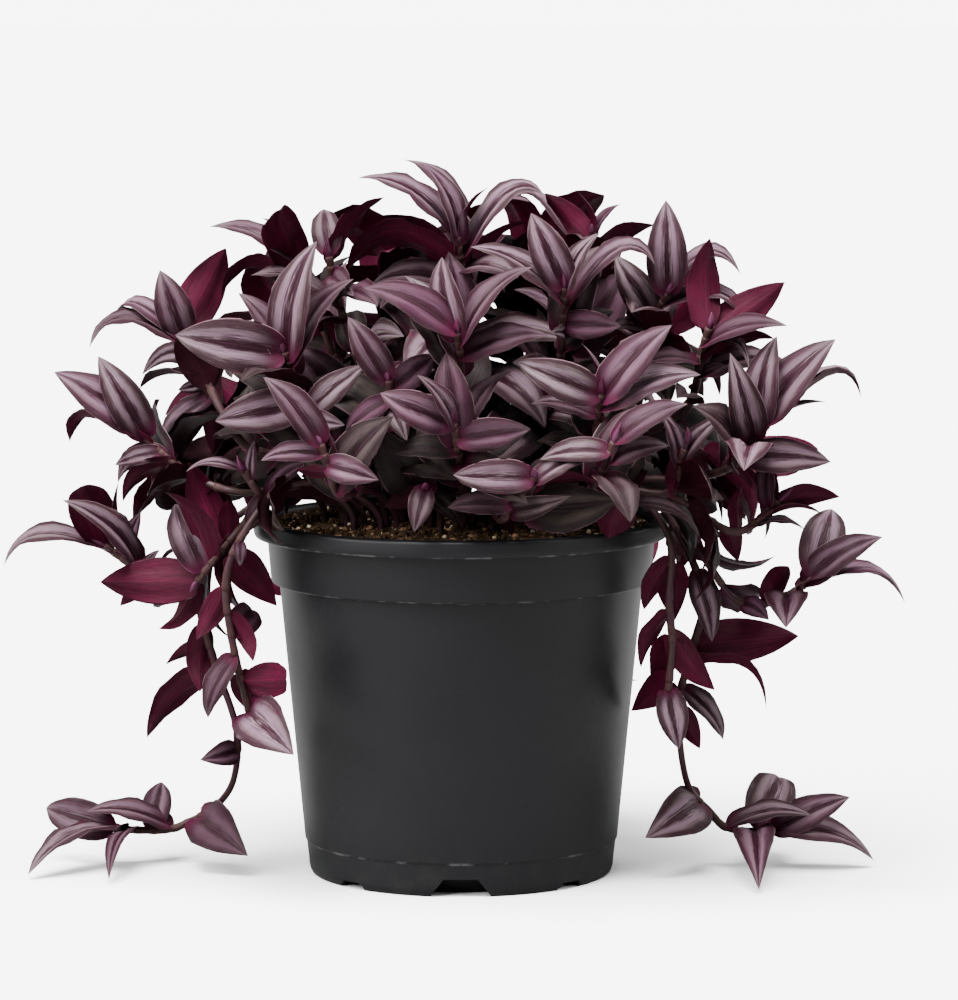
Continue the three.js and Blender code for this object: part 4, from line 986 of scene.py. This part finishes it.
def make_soil(material):
    """Potting mix: a side profile carried round, and a top of rings as high as the mound plus bumps."""
    turn = 2 * math.pi * np.arange(SOIL_COLUMNS) / SOIL_COLUMNS
    side = np.array(SOIL_LINE)
    radius = np.repeat(side[:, :1], SOIL_COLUMNS, 1)
    height = np.repeat(side[:, 1:], SOIL_COLUMNS, 1)
    top_radius = np.repeat(np.linspace(SOIL_REACH, 0.001, SOIL_ROWS)[:, None], SOIL_COLUMNS, 1)
    radius = np.concatenate([radius, top_radius])
    height = np.concatenate([height, soil_top(top_radius)])
    x, y = radius * np.cos(turn), radius * np.sin(turn)
    bumps = soil_bumps(x, y)
    bumps[:len(side)] = 0
    corners = np.stack([x, y, height + bumps], 2).reshape(-1, 3)
    faces = strip_faces(len(radius), SOIL_COLUMNS, 0)
    return mesh_piece("potting_mix", corners, faces, [material])


# Radius that the bits of the mix reach, and the twelve corners of the ball with twenty faces that each bit
# is bent from. Neighbouring corners are closer together than the near limit
BITS_REACH = 84.5
NEAR_CORNERS = 1.2
GOLDEN = (1 + math.sqrt(5)) / 2
BALL_CORNERS = np.array([(a, b, 0) for a in (-1, 1) for b in (-GOLDEN, GOLDEN)]
                        + [(0, a, b) for a in (-1, 1) for b in (-GOLDEN, GOLDEN)]
                        + [(b, 0, a) for a in (-1, 1) for b in (-GOLDEN, GOLDEN)]) / math.hypot(1, GOLDEN)


def ball_faces():
    """Triples of ball corners that are all next to each other, turned outwards."""
    near = np.linalg.norm(BALL_CORNERS[:, None] - BALL_CORNERS[None], axis=2) < NEAR_CORNERS
    faces = []
    for i, j, k in combinations(range(len(BALL_CORNERS)), 3):
        if near[i, j] and near[j, k] and near[i, k]:
            a, b, c = BALL_CORNERS[[i, j, k]]
            out = np.dot(np.cross(b - a, c - a), a + b + c) > 0
            faces.append((i, j, k) if out else (i, k, j))
    return np.array(faces)


def make_bits(name, count, sizes, flatness, seed, material):
    """Bits of the mix: bent, squashed balls half sunk in the mound at seeded places."""
    draw = draws_from(seed)
    faces, corners, all_faces = ball_faces(), [], []
    for number in range(count):
        radius, turn = BITS_REACH * draw() ** 0.4, 2 * math.pi * draw()
        x, y = radius * math.cos(turn), radius * math.sin(turn)
        size = sizes[0] + (sizes[1] - sizes[0]) * draw() ** 2
        stretch = np.array([1, 0.6 + 0.35 * draw(), flatness * (0.8 + 0.4 * draw())]) * size / 2
        bends = 1 + 0.3 * (np.array([draw() for _ in BALL_CORNERS]) - 0.5)
        spin, tip = 2 * math.pi * draw(), 0.6 * (draw() - 0.5)
        local = BALL_CORNERS * bends[:, None] * stretch
        spun = np.array(Matrix.Rotation(spin, 3, "Z") @ Matrix.Rotation(tip, 3, "X")) @ local.T
        rest = soil_top(radius) + soil_bumps(np.array([x]), np.array([y]))[0]
        corners.append(spun.T + [x, y, rest + 0.25 * stretch[2]])
        all_faces.append(faces + len(BALL_CORNERS) * number)
    return mesh_piece(name, np.concatenate(corners), np.concatenate(all_faces), [material])


# Older, smaller leaves down the bare foot of each stem: the first one's distance from the stem's end, the
# gaps between them, the bare length at the root, and the turns tried for each. Those among a shoot's own
# leaves start above a floor
FILL_START, FILL_START_DRAW = 18, 4
FILL_GAP, FILL_GAP_DRAW = 10, 4
FILL_ROOT = 24
FILL_TRIES, FILL_TURN = 9, 1.3
FILL_CLEARANCE = 2.4
FILL_FLOOR = 180
# Points along every stem that they keep clear of too, and the first of those, which is above the soil
CLEAR_POINTS, CLEAR_FROM = 60, 12
# Their length, width for the length and droop, each with its draw
FILL_LENGTH, FILL_LENGTH_DRAW = 27, 13
FILL_SLIM, FILL_SLIM_DRAW = 0.5, 0.1
FILL_DROOP, FILL_DROOP_DRAW = 0.1, 0.25
# Spread from the stem in degrees: high up every second leaf stands closer to it, and each try a bit closer
FILL_SPREAD, FILL_STEEP_SPREAD, FILL_SPREAD_DRAW, FILL_SPREAD_TRY = 60, 36, 28, 2
HIGH_UP = 215
# Share of the leaves below that height that are turned on where they would show their underside
TURNED_ON = 0.8

# Heights that leaves stay above: the soil by a margin, the rim and the floor, and in front a strip of mix
# that stays in sight, as radius, front depth, half width and height
SOIL_MARGIN = 1.5
OPENING_REACH, RIM_REACH = 84, 97
RIM_TOP = 165.0
FLOOR_MARGIN = 3.0
STRIP_REACH, STRIP_DEPTH, STRIP_HALF, STRIP_TOP = 112, -18, 76, 182.0

# Dome that most leaves reach: half width, half depth, height of its base and rise
INSIDE_X, INSIDE_Y, INSIDE_BASE, INSIDE_RISE = 160, 135, 160, 150

# What a leaf's age and painted shade add up from, each as the distance over which it counts and the most
# that it adds: age back from the stem's end, on hanging stems and on others; a darker tone near the floor;
# painted shade low over the mix, within a radius, and low in the bush. An older leaf gets more, with more
# painted shade the deeper inside it is, and a filling one a draw as well. The sum dulls and darkens it
YOUNGEST, AGE_DRAW = 0.1, 0.1
HANGING_BACK, HANGING_MOST = 500, 0.25
STEM_BACK, STEM_MOST = 150, 0.4
NEAR_FLOOR, FLOOR_MOST = 60, 0.5
OVER_MIX, MIX_RADIUS, MIX_SHADE_MOST = 75, 105, 0.45
IN_BUSH, BUSH_SHADE_MOST = 110, 0.25
OLDER, DEEP_SCALE, DEEP_SHADE_MOST = 0.2, 1.7, 0.35


def depth_inside(point):
    """From 0 on the dome that most leaves reach to 1 at its middle, over the potting mix."""
    x, y, z = point
    return 1 - math.hypot(x / INSIDE_X, y / INSIDE_Y, (z - INSIDE_BASE) / INSIDE_RISE)


def leaf_age_and_shade(blade, path, is_older):
    """From 0 for a young leaf at a stem's end to about 1 for an old one far back, darker near the floor,
    with painted shade low or deep inside.
    """
    back = path.length * (1 - blade["share"])
    x, y, z = blade["base"]
    if z < RIM_TOP:
        return YOUNGEST + min(back / HANGING_BACK, HANGING_MOST) + FLOOR_MOST * max(1 - z / NEAR_FLOOR, 0)
    # Painted shade: low over the mix, low in the bush and deep inside
    low = share_within(1 - (z - RIM_TOP) / OVER_MIX) if math.hypot(x, y) < MIX_RADIUS else 0
    deep_shade = share_within(DEEP_SCALE * depth_inside(blade["base"]))
    shaded = BUSH_SHADE_MOST * share_within(1 - (z - RIM_TOP) / IN_BUSH)
    return (YOUNGEST + shaded + min(back / STEM_BACK, STEM_MOST) + MIX_SHADE_MOST * low
            + (OLDER + DEEP_SHADE_MOST * deep_shade) * is_older)


def blade_samples(blade):
    """Points spread over a blade: nine along it, and five across at each."""
    t = np.linspace(0.2, 1, 9)
    points, along = blade_line(blade, t)
    across = np.cross(along, blade["up"])
    half = blade["width"] / 2 * blade_shape(np.minimum(t, 0.999))
    spread = np.linspace(-1, 1, 5)
    return (points[:, None] + (half[:, None] * spread)[:, :, None] * across[:, None]).reshape(-1, 3)


def distance(points, others):
    """Smallest gap between two sets of points."""
    if not len(others):
        return math.inf
    squares = (points ** 2).sum(1)[:, None] + (others ** 2).sum(1)[None] - 2 * points @ others.T
    return math.sqrt(max(0.0, float(squares.min())))


def clear_of_pot(points):
    """True if no point is in the soil, in the pot's wall or under the floor, or hides the strip of mix that
    shows at the front."""
    radius = np.hypot(points[:, 0], points[:, 1])
    over_rim = np.where(radius < RIM_REACH, RIM_TOP, FLOOR_MARGIN)
    low = np.where(radius < OPENING_REACH, soil_top(radius) + SOIL_MARGIN, over_rim)
    in_strip = (radius < STRIP_REACH) & (points[:, 1] < STRIP_DEPTH) & (np.abs(points[:, 0]) < STRIP_HALF)
    return bool((points[:, 2] > np.where(in_strip, STRIP_TOP, low)).all())


def filling_blades(path, blades, taken, draw):
    """Older, smaller leaves down the bare foot of a stem, in golden turns about it.

    Each takes the first of a few turns that leaves it clear of the pot, the soil and the other leaves,
    whose points are in taken, and adds its own points there.
    """
    found, number = [], 0
    farthest = max([path.length * (1 - blade["share"]) for blade in blades] + [20]) + FILL_GAP
    back, turn = FILL_START + FILL_START_DRAW * draw(), 2 * math.pi * draw()
    while back < path.length - FILL_ROOT:
        share = 1 - back / path.length
        base = path.share(share)
        if back < farthest and (base[2] < FILL_FLOOR or depth_inside(base) < 0):
            back += FILL_GAP / 2
            continue
        along = unit(path.share(share + 0.01) - base)
        first = unit(np.cross(along, (0.0, 0.0, 1.0) if abs(along[2]) < UPRIGHT else (1.0, 0.0, 0.0)))
        second = np.cross(along, first)
        length, slim = FILL_LENGTH + FILL_LENGTH_DRAW * draw(), FILL_SLIM + FILL_SLIM_DRAW * draw()
        points = np.concatenate(taken)
        near = points[np.abs(points - base).max(axis=1) < length + 5]
        widest = FILL_STEEP_SPREAD if base[2] > HIGH_UP and number % 2 else FILL_SPREAD
        for trial in range(FILL_TRIES):
            spread = math.radians(widest + FILL_SPREAD_DRAW * draw() - FILL_SPREAD_TRY * trial)
            heading = along * math.cos(spread) + math.sin(spread) * (
                first * math.cos(turn) + second * math.sin(turn))
            heading[2] -= FILL_DROOP + FILL_DROOP_DRAW * draw()
            heading = unit(heading)
            up = unit(along - heading * along.dot(heading))
            if up[2] < 0 and base[2] < HIGH_UP and draw() < TURNED_ON:
                turn += FILL_TURN
                continue
            blade = dict(base=base, tip=base + heading * length, up=up, share=share, width=slim * length,
                         control=base + heading * length / 2 + up * BOW * length)
            samples = blade_samples(blade)
            if clear_of_pot(samples) and distance(samples, near) > FILL_CLEARANCE:
                blade["age_and_shade"] = leaf_age_and_shade(blade, path, True) + AGE_DRAW * draw()
                found.append(blade)
                taken.append(samples)
                break
            turn += FILL_TURN
        turn += math.radians(GOLDEN_TURN)
        number += 1
        back += FILL_GAP + FILL_GAP_DRAW * draw()
    return found


def colour(code):
    """Linear colour of a six-digit sRGB code."""
    parts = np.array([int(code[i:i + 2], 16) / 255 for i in (0, 2, 4)])
    linear = np.where(parts <= 0.04045, parts / 12.92, ((parts + 0.055) / 1.055) ** 2.4)
    return (*linear.tolist(), 1.0)


class Web:
    """Short calls that add shader nodes to one tree and join them."""

    def __init__(self, tree):
        self.tree = tree

    def put(self, socket, value):
        """Join a socket to another one, or give it a fixed value."""
        if isinstance(value, bpy.types.NodeSocket):
            self.tree.links.new(value, socket)
        else:
            socket.default_value = value

    def node(self, kind, inputs=None, **settings):
        """Shader node of a kind, with its settings and what goes into its inputs."""
        node = self.tree.nodes.new("ShaderNode" + kind)
        for key, value in settings.items():
            setattr(node, key, value)
        for key, value in (inputs or {}).items():
            self.put(node.inputs[key], value)
        return node

    def math(self, operation, a, b=0.0):
        """Result of a maths operation on one or two values."""
        return self.node("Math", {0: a, 1: b}, operation=operation).outputs[0]

    def vector(self, x, y, z=0.0):
        """Vector of three values."""
        return self.node("CombineXYZ", {0: x, 1: y, 2: z}).outputs[0]

    def mix(self, share, a, b):
        """Colour between a and b at a share from 0 to 1."""
        return self.node("Mix", {0: share, 6: a, 7: b}, data_type="RGBA").outputs[2]

    def step(self, value, low, high, from_value=0.0, to_value=1.0):
        """Smooth step from one value to another as the input goes from low to high."""
        inputs = {"Value": value, "From Min": low, "From Max": high,
                  "To Min": from_value, "To Max": to_value}
        return self.node("MapRange", inputs, interpolation_type="SMOOTHSTEP").outputs[0]

    def noise(self, vector, scale, detail=2.0, roughness=0.5):
        """Smooth noise around a half at a place."""
        return self.node("TexNoise", {"Vector": vector, "Scale": scale, "Detail": detail,
                                      "Roughness": roughness}).outputs[0]

    def value(self, name):
        """Face value of the mesh under a name."""
        return self.node("Attribute", attribute_name=name).outputs["Fac"]

    def place(self):
        """Place on the piece, in metres."""
        return self.node("TexCoord").outputs["Object"]

    def along_across(self):
        """The piece's own map: place along the leaf or stem, and place across it."""
        uv = self.node("UVMap", uv_map="along_across").outputs[0]
        parts = self.node("SeparateXYZ", {0: uv})
        return parts.outputs[0], parts.outputs[1]

    def bump(self, height, strength, distance):
        """Normal that a height from 0 to 1 gives, at most a distance in metres high."""
        return self.node("Bump", {"Height": height, "Strength": strength, "Distance": distance}).outputs[0]

    def group(self, tree, inputs):
        """Outputs of a shader group placed here with its own values."""
        node = self.tree.nodes.new("ShaderNodeGroup")
        node.node_tree = tree
        for key, value in inputs.items():
            self.put(node.inputs[key], value)
        return node.outputs


def new_group(name, inputs, outputs):
    """Empty shader group with named inputs, given as name and default, and named outputs."""
    tree = bpy.data.node_groups.new(name, "ShaderNodeTree")
    for key, value in inputs.items():
        tree.interface.new_socket(key, in_out="INPUT", socket_type="NodeSocketFloat").default_value = value
    for key in outputs:
        tree.interface.new_socket(key, in_out="OUTPUT", socket_type="NodeSocketFloat")
    return tree, tree.nodes.new("NodeGroupInput"), tree.nodes.new("NodeGroupOutput")


def vein_group():
    """Parallel veins: noise drawn out along the leaf or stem, and narrow ridges between its dark lines."""
    tree, given, result = new_group("parallel_veins", {"Along": 2.0, "Across": 12.0, "Tone": 0.0},
                                    ["Streak", "Vein"])
    web = Web(tree)
    t, s = web.along_across()
    shift = web.math("MULTIPLY", given.outputs["Tone"], 37.0)
    across = web.math("MULTIPLY", s, given.outputs["Across"])
    along = web.math("MULTIPLY", t, given.outputs["Along"])
    place = web.vector(along, web.math("ADD", across, shift), shift)
    web.put(result.inputs["Streak"], web.noise(place, 1.0, 3.0, 0.6))
    ridge = web.math("SINE", web.math("MULTIPLY", across, 6.2832))
    web.put(result.inputs["Vein"], web.step(ridge, -0.2, 1.0))
    return tree


def mottle_group():
    """Soft uneven patches at a wanted size on Object coordinates, from 0 to 1."""
    tree, given, result = new_group("soft_mottle", {"Size": 100.0, "Contrast": 0.2}, ["Patch", "Grain"])
    web = Web(tree)
    patch = web.noise(web.place(), given.outputs["Size"], 4.0, 0.55)
    low = web.math("SUBTRACT", 0.5, given.outputs["Contrast"])
    high = web.math("ADD", 0.5, given.outputs["Contrast"])
    web.put(result.inputs["Patch"], web.step(patch, low, high))
    grain_size = web.math("MULTIPLY", given.outputs["Size"], 9.0)
    web.put(result.inputs["Grain"], web.noise(web.place(), grain_size, 2.0))
    return tree


VEINS = vein_group()
MOTTLE = mottle_group()


def new_material(name, **constants):
    """Material with one Principled shader, whose fixed values sit on its own sockets."""
    material = bpy.data.materials.new(name)
    material.use_nodes = True
    web = Web(material.node_tree)
    shader = material.node_tree.nodes["Principled BSDF"]
    for key, value in constants.items():
        shader.inputs[key.replace("_", " ").title().replace("Ior", "IOR")].default_value = value
    return material, web, shader


def leaf_material():
    """Striped leaf: silver bands on both sides of a dark middle above, burgundy with fine veins below."""
    material, web, shader = new_material("striped_leaf", specular_ior_level=0.09)
    t, s = web.along_across()
    tone, age_and_shade, upper = web.value("tone"), web.value("age_and_shade"), web.value("upper")
    broad = web.group(VEINS, {"Along": 1.3, "Across": 6.0, "Tone": tone})
    fine = web.group(VEINS, {"Along": 5.0, "Across": 24.0, "Tone": tone})
    streak = web.math("ADD", web.math("MULTIPLY", broad["Streak"], 0.4),
                      web.math("MULTIPLY", fine["Streak"], 0.6))
    # Place across each half, which noise along the leaf lets wander and the streaks fray
    side = web.math("ABSOLUTE", s)
    drift = web.noise(web.vector(web.math("MULTIPLY", t, 2.0), s, web.math("MULTIPLY", tone, 53.0)), 1.4)
    wander = web.math("MULTIPLY", web.math("SUBTRACT", drift, 0.5), 0.4)
    frayed = web.math("MULTIPLY", web.math("SUBTRACT", streak, 0.5), 1.1)
    place = web.math("ADD", side, web.math("ADD", wander, frayed))
    # Share of silver: a band in each half and a thin one at the edge, some at the tip, and little at the
    # foot, partly the crimson base and partly painted shade near the stem
    band = web.math("MULTIPLY", web.step(place, 0.08, 0.36), web.step(place, 0.46, 0.74, 1.0, 0.04))
    band = web.math("ADD", band, web.step(place, 0.9, 1.05, 0.0, 0.3))
    # Less silver towards the foot: partly the crimson base, partly painted shade near the stem
    band = web.math("MULTIPLY", band, web.step(t, 0.0, 0.42, 0.1, 1.0))
    band = web.math("MULTIPLY", band, web.step(tone, 0.0, 0.85, 0.2, 0.95))
    band = web.math("ADD", band, web.step(t, 0.75, 1.0, 0.0, 0.35))
    # Two more draws out of each leaf's tone: how rosy and how grey it is
    flush = web.math("FRACT", web.math("MULTIPLY", tone, 7.31))
    cool = web.math("FRACT", web.math("MULTIPLY", tone, 13.7))
    dark = web.mix(drift, colour("210611"), colour("1a0910"))
    within = web.math("MULTIPLY", web.step(side, 0.05, 0.4), web.step(side, 0.62, 0.86, 1.0, 0.15))
    dark = web.mix(web.math("MULTIPLY", within, web.math("MULTIPLY", flush, 0.7)), dark, colour("3c1a2e"))
    silver = web.mix(web.step(streak, 0.32, 0.7), colour("3a232c"), colour("847177"))
    silver = web.mix(web.step(flush, 0.4, 1.0, 0.0, 0.55), silver, colour("4c2739"))
    silver = web.mix(web.step(cool, 0.5, 1.0, 0.0, 0.35), silver, colour("6b6a62"))
    heart = web.math("MULTIPLY", web.step(side, 0.12, 0.3), web.step(side, 0.4, 0.6, 0.6, 0.0))
    silver = web.mix(heart, silver, colour("6a5163"))
    silver = web.mix(web.step(side, 0.5, 0.85, 0.0, 0.5), silver, colour("5d5a53"))
    # Silver greys with age and with painted shade low and deep in the bush
    silver = web.mix(web.math("MULTIPLY", age_and_shade, 0.5), silver, colour("403832"))
    # Upper side: fresh, or dull and dark with age and with painted shade low and deep in the bush, crimson
    # at the foot, with a pale rim and a middle line
    above = web.mix(band, dark, silver)
    dull_and_shaded = web.mix(band, colour("0e0707"), colour("261f1a"))
    above = web.mix(web.step(age_and_shade, 0.35, 0.95, 0.0, 0.92), above, dull_and_shaded)
    above = web.mix(web.step(t, 0.0, 0.24, 0.85, 0.0), above, colour("3c0822"))
    above = web.mix(web.step(side, 0.955, 0.99, 0.0, 0.75), above, colour("755660"))
    above = web.mix(web.step(side, 0.0, 0.05, 0.5, 0.0), above, colour("3a1c2c"))
    below = web.mix(web.step(streak, 0.3, 0.7), colour("270411"), colour("430521"))
    below = web.mix(web.step(side, 0.0, 0.06, 0.5, 0.0), below, colour("4f0e2a"))
    # Underside darkens with age and with painted shade low and deep in the bush
    below = web.mix(web.step(age_and_shade, 0.25, 0.9, 0.0, 0.8), below, colour("1a060a"))
    web.put(shader.inputs["Base Color"], web.mix(upper, below, above))
    web.put(shader.inputs["Roughness"], web.step(streak, 0.2, 0.8, 0.56, 0.4))
    height = web.math("ADD", streak, web.math("MULTIPLY", fine["Vein"], 0.3))
    web.put(shader.inputs["Normal"], web.bump(height, 0.7, 0.0005))
    return material


def stem_material():
    """Fleshy stem: olive brown flushed with purple, in fine long streaks."""
    material, web, shader = new_material("fleshy_stem", specular_ior_level=0.2)
    veins = web.group(VEINS, {"Along": 0.06, "Across": 9.0, "Tone": web.value("tone")})
    mottle = web.group(MOTTLE, {"Size": 45.0, "Contrast": 0.16})
    base = web.mix(mottle["Patch"], colour("2c1c19"), colour("2c0e1c"))
    base = web.mix(web.step(veins["Streak"], 0.45, 0.75, 0.0, 0.6), base, colour("1d0912"))
    web.put(shader.inputs["Base Color"], base)
    web.put(shader.inputs["Roughness"], web.step(veins["Streak"], 0.2, 0.8, 0.4, 0.55))
    web.put(shader.inputs["Normal"], web.bump(veins["Streak"], 0.4, 0.0003))
    return material


def sheath_material():
    """Papery sheath at a leaf's foot: pale rose brown with purple ribs."""
    material, web, shader = new_material("leaf_sheath", specular_ior_level=0.15)
    veins = web.group(VEINS, {"Along": 0.1, "Across": 12.0, "Tone": web.value("tone")})
    base = web.mix(veins["Vein"], colour("382622"), colour("260b17"))
    base = web.mix(web.step(veins["Streak"], 0.3, 0.7), base, colour("331d1e"))
    web.put(shader.inputs["Base Color"], base)
    web.put(shader.inputs["Roughness"], web.step(veins["Streak"], 0.2, 0.8, 0.45, 0.65))
    web.put(shader.inputs["Normal"], web.bump(veins["Vein"], 0.5, 0.0002))
    return material


def bud_material():
    """Furled young leaf: bright rose purple with silver streaks."""
    material, web, shader = new_material("furled_leaf", specular_ior_level=0.12)
    veins = web.group(VEINS, {"Along": 0.08, "Across": 7.0, "Tone": web.value("tone")})
    web.put(shader.inputs["Base Color"],
            web.mix(web.step(veins["Streak"], 0.4, 0.65), colour("36071f"), colour("45273a")))
    web.put(shader.inputs["Roughness"], web.step(veins["Streak"], 0.2, 0.8, 0.5, 0.38))
    web.put(shader.inputs["Normal"], web.bump(veins["Streak"], 0.4, 0.0003))
    return material


def pot_material():
    """Charcoal moulded plastic: a fine grain, faint clouding, a dusty foot, and pale lines on edges, partly
    scuffs and partly painted highlights.
    """
    material, web, shader = new_material("charcoal_plastic", specular_ior_level=0.2)
    mottle = web.group(MOTTLE, {"Size": 14.0, "Contrast": 0.3})
    height = web.node("SeparateXYZ", {0: web.place()}).outputs[2]
    dust = web.math("MULTIPLY", web.step(height, 0.0, 0.03, 1.0, 0.0), web.step(mottle["Grain"], 0.4, 0.8))
    base = web.mix(mottle["Patch"], colour("070709"), colour("0b0b0e"))
    base = web.mix(web.math("MULTIPLY", dust, 0.35), base, colour("1d1c1b"))
    chips = web.step(web.noise(web.place(), 90.0, 5.0, 0.7), 0.48, 0.62)
    # Pale broken line along each of those edges: partly scuffs, partly painted highlight
    for level in SCUFF_AND_HIGHLIGHT_EDGES:
        away = web.math("ABSOLUTE", web.math("SUBTRACT", height, level * MM))
        line = web.math("MULTIPLY", web.step(away, 0.0002, 0.0009, 0.8, 0.0), chips)
        base = web.mix(line, base, colour("4c4b4c"))
    web.put(shader.inputs["Base Color"], base)
    web.put(shader.inputs["Roughness"], web.step(mottle["Patch"], 0.0, 1.0, 0.42, 0.5))
    fine = web.noise(web.place(), 1800.0, 2.0)
    web.put(shader.inputs["Normal"], web.bump(fine, 0.25, 0.0003))
    return material


def mix_material():
    """Potting mix: dark brown peat with lighter fibres, dull and rough."""
    material, web, shader = new_material("peat_mix", specular_ior_level=0.1)
    mottle = web.group(MOTTLE, {"Size": 240.0, "Contrast": 0.18})
    base = web.mix(mottle["Patch"], colour("20160f"), colour("4e3a29"))
    base = web.mix(web.step(mottle["Grain"], 0.6, 0.7), base, colour("8a6f50"))
    web.put(shader.inputs["Base Color"], base)
    web.put(shader.inputs["Roughness"], web.step(mottle["Grain"], 0.2, 0.8, 0.98, 0.85))
    web.put(shader.inputs["Normal"], web.bump(mottle["Grain"], 1.0, 0.0012))
    return material


def bit_material(name, one, two, roughness):
    """Bits in the mix: two tones in patches, with a rough skin."""
    material, web, shader = new_material(name)
    mottle = web.group(MOTTLE, {"Size": 300.0, "Contrast": 0.2})
    web.put(shader.inputs["Base Color"], web.mix(mottle["Patch"], colour(one), colour(two)))
    web.put(shader.inputs["Roughness"],
            web.step(mottle["Grain"], 0.2, 0.8, roughness + 0.05, roughness - 0.05))
    web.put(shader.inputs["Normal"], web.bump(mottle["Grain"], 0.6, 0.0006))
    return material


def finish_piece(piece, slot, *nodes):
    """Set a piece on the root body and hide the nodes that it stands for. The slot is not used."""
    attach(piece, "root")
    if nodes:
        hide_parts(*nodes)


pot = make_pot(pot_material())
finish_piece(pot, "pot_plastic", "pot")
peat = mix_material()
soil = make_soil(peat)
finish_piece(soil, "potting_soil", "soil")
perlite = bit_material("perlite", "ddd0ba", "b39b78", 0.85)
bark = bit_material("bark", "5c4029", "97774f", 0.8)
# Bits on the mix: how many of each kind, their least and greatest size, flatness and seed
for bits in (make_bits("mix_crumbs", 3200, (1.2, 4.6), 0.8, 11, peat),
             make_bits("perlite_bits", 520, (1.0, 3.2), 0.85, 12, perlite),
             make_bits("bark_chips", 420, (2.5, 6.5), 0.35, 13, bark)):
    finish_piece(bits, "potting_soil")

# Every shoot's stem and blades as the frame has them, with each leaf's foot moved to the smooth stem
shoots = []
for name, way, own, older in all_shoots():
    tree = node_tree(name)
    path, corners = find_stem(way, tree)
    blades = []
    for leaves, is_older in ((own, False), (older, True)):
        for order, leaf in enumerate(leaves):
            blade = find_blade(leaf, path, corners, order, tree)
            if blade:
                blade["base"] = path.share(blade["share"])
                blade["age_and_shade"] = leaf_age_and_shade(blade, path, is_older)
                blades.append(blade)
    shoots.append((name, path, blades))

# Foliage, with filling leaves that keep clear of every leaf, and of the stems above the soil
foliage_materials = [leaf_material(), stem_material(), sheath_material(), bud_material()]
taken = [blade_samples(blade) for _, _, blades in shoots for blade in blades]
taken += [path.spaced(CLEAR_POINTS)[CLEAR_FROM:] for _, path, _ in shoots]
for number, (name, path, blades) in enumerate(shoots):
    draw = draws_from(FOLIAGE_SEED + number)
    filled = filling_blades(path, blades, taken, draw)
    skin = Skin()
    add_stem(skin, path, blades + filled, draw)
    for blade in blades + filled:
        add_leaf(skin, blade, draw, PALE_TONE if name in PALE_SHOOTS else 0.0)
    shoot = skin.piece(name + "_leaves", foliage_materials)
    finish_piece(shoot, "foliage", name)

# Camera where the front view was taken from
camera_data = bpy.data.cameras.new("front_camera")
camera_data.lens = FOCAL * SENSOR / PICTURE_LONG_SIDE
camera_data.sensor_width = SENSOR
camera_data.clip_end = 100
camera = bpy.data.objects.new("front_camera", camera_data)
camera.location = EYE * MM
camera.rotation_euler = (math.pi / 2 - PITCH, 0, 0)
bpy.context.scene.collection.objects.link(camera)
bpy.context.scene.camera = camera


def add_sun(name, direction, spread, strength):
    """Soft even light from a direction, as wide as its spread in degrees. Returns what the floor gets."""
    data = bpy.data.lights.new(name, "SUN")
    data.angle, data.energy = math.radians(spread), strength
    light = bpy.data.objects.new(name, data)
    heading = Vector(direction).normalized()
    light.rotation_euler = heading.to_track_quat("Z", "Y").to_euler()
    bpy.context.scene.collection.objects.link(light)
    return strength * heading.z / math.pi


# Brightness of the air, and what the floor shows and what it reflects of the light on it
AIR = 0.01
FLOOR_SHADE, FLOOR_BOUNCE = 0.95, 0.2
# Lights: name, direction that each comes from, spread and strength
LIGHTS = [
    ("top_light", (-0.12, -0.25, 1), 42, 19.5),
    ("left_light", (-1.0, -0.7, 0.8), 50, 8.2),
    ("right_light", (1.0, -0.4, 0.7), 44, 2.7),
    ("left_rim_light", (-1.0, 0.7, 0.5), 40, 1.5),
    ("right_rim_light", (1.0, 0.7, 0.5), 40, 1.5),
]
on_floor = AIR
for light in LIGHTS:
    on_floor += add_sun(*light)

# The studio's air lights the plant dimly, and behind the floor's far edge it looks as bright as the floor
world = bpy.data.worlds.new("studio")
world.use_nodes = True
studio = Web(world.node_tree)
behind = on_floor * FLOOR_SHADE
ray = studio.node("LightPath").outputs["Is Camera Ray"]
brightness = studio.node("MapRange", {"Value": ray, "To Min": AIR, "To Max": behind}).outputs[0]
studio.put(world.node_tree.nodes["Background"].inputs["Strength"], brightness)
world.node_tree.nodes["Background"].inputs["Color"].default_value = (1, 1, 1, 1)
bpy.context.scene.world = world

# Plain pale floor, with its reach from the pot in metres
FLOOR_REACH = 60
floor_mesh = bpy.data.meshes.new("studio_floor")
floor_corners = [(FLOOR_REACH * x, FLOOR_REACH * y, 0) for x, y in ((-1, -1), (1, -1), (1, 1), (-1, 1))]
floor_mesh.from_pydata(floor_corners, [], [(0, 1, 2, 3)])
floor_material, floor_web, floor_shader = new_material("pale_floor", roughness=0.9)
seen_directly = floor_web.node("LightPath").outputs["Is Camera Ray"]
floor_web.put(floor_shader.inputs["Base Color"],
              floor_web.step(seen_directly, 0.0, 1.0, FLOOR_BOUNCE, FLOOR_SHADE))
floor_mesh.materials.append(floor_material)
studio_floor = bpy.data.objects.new("studio_floor", floor_mesh)
bpy.context.scene.collection.objects.link(studio_floor)
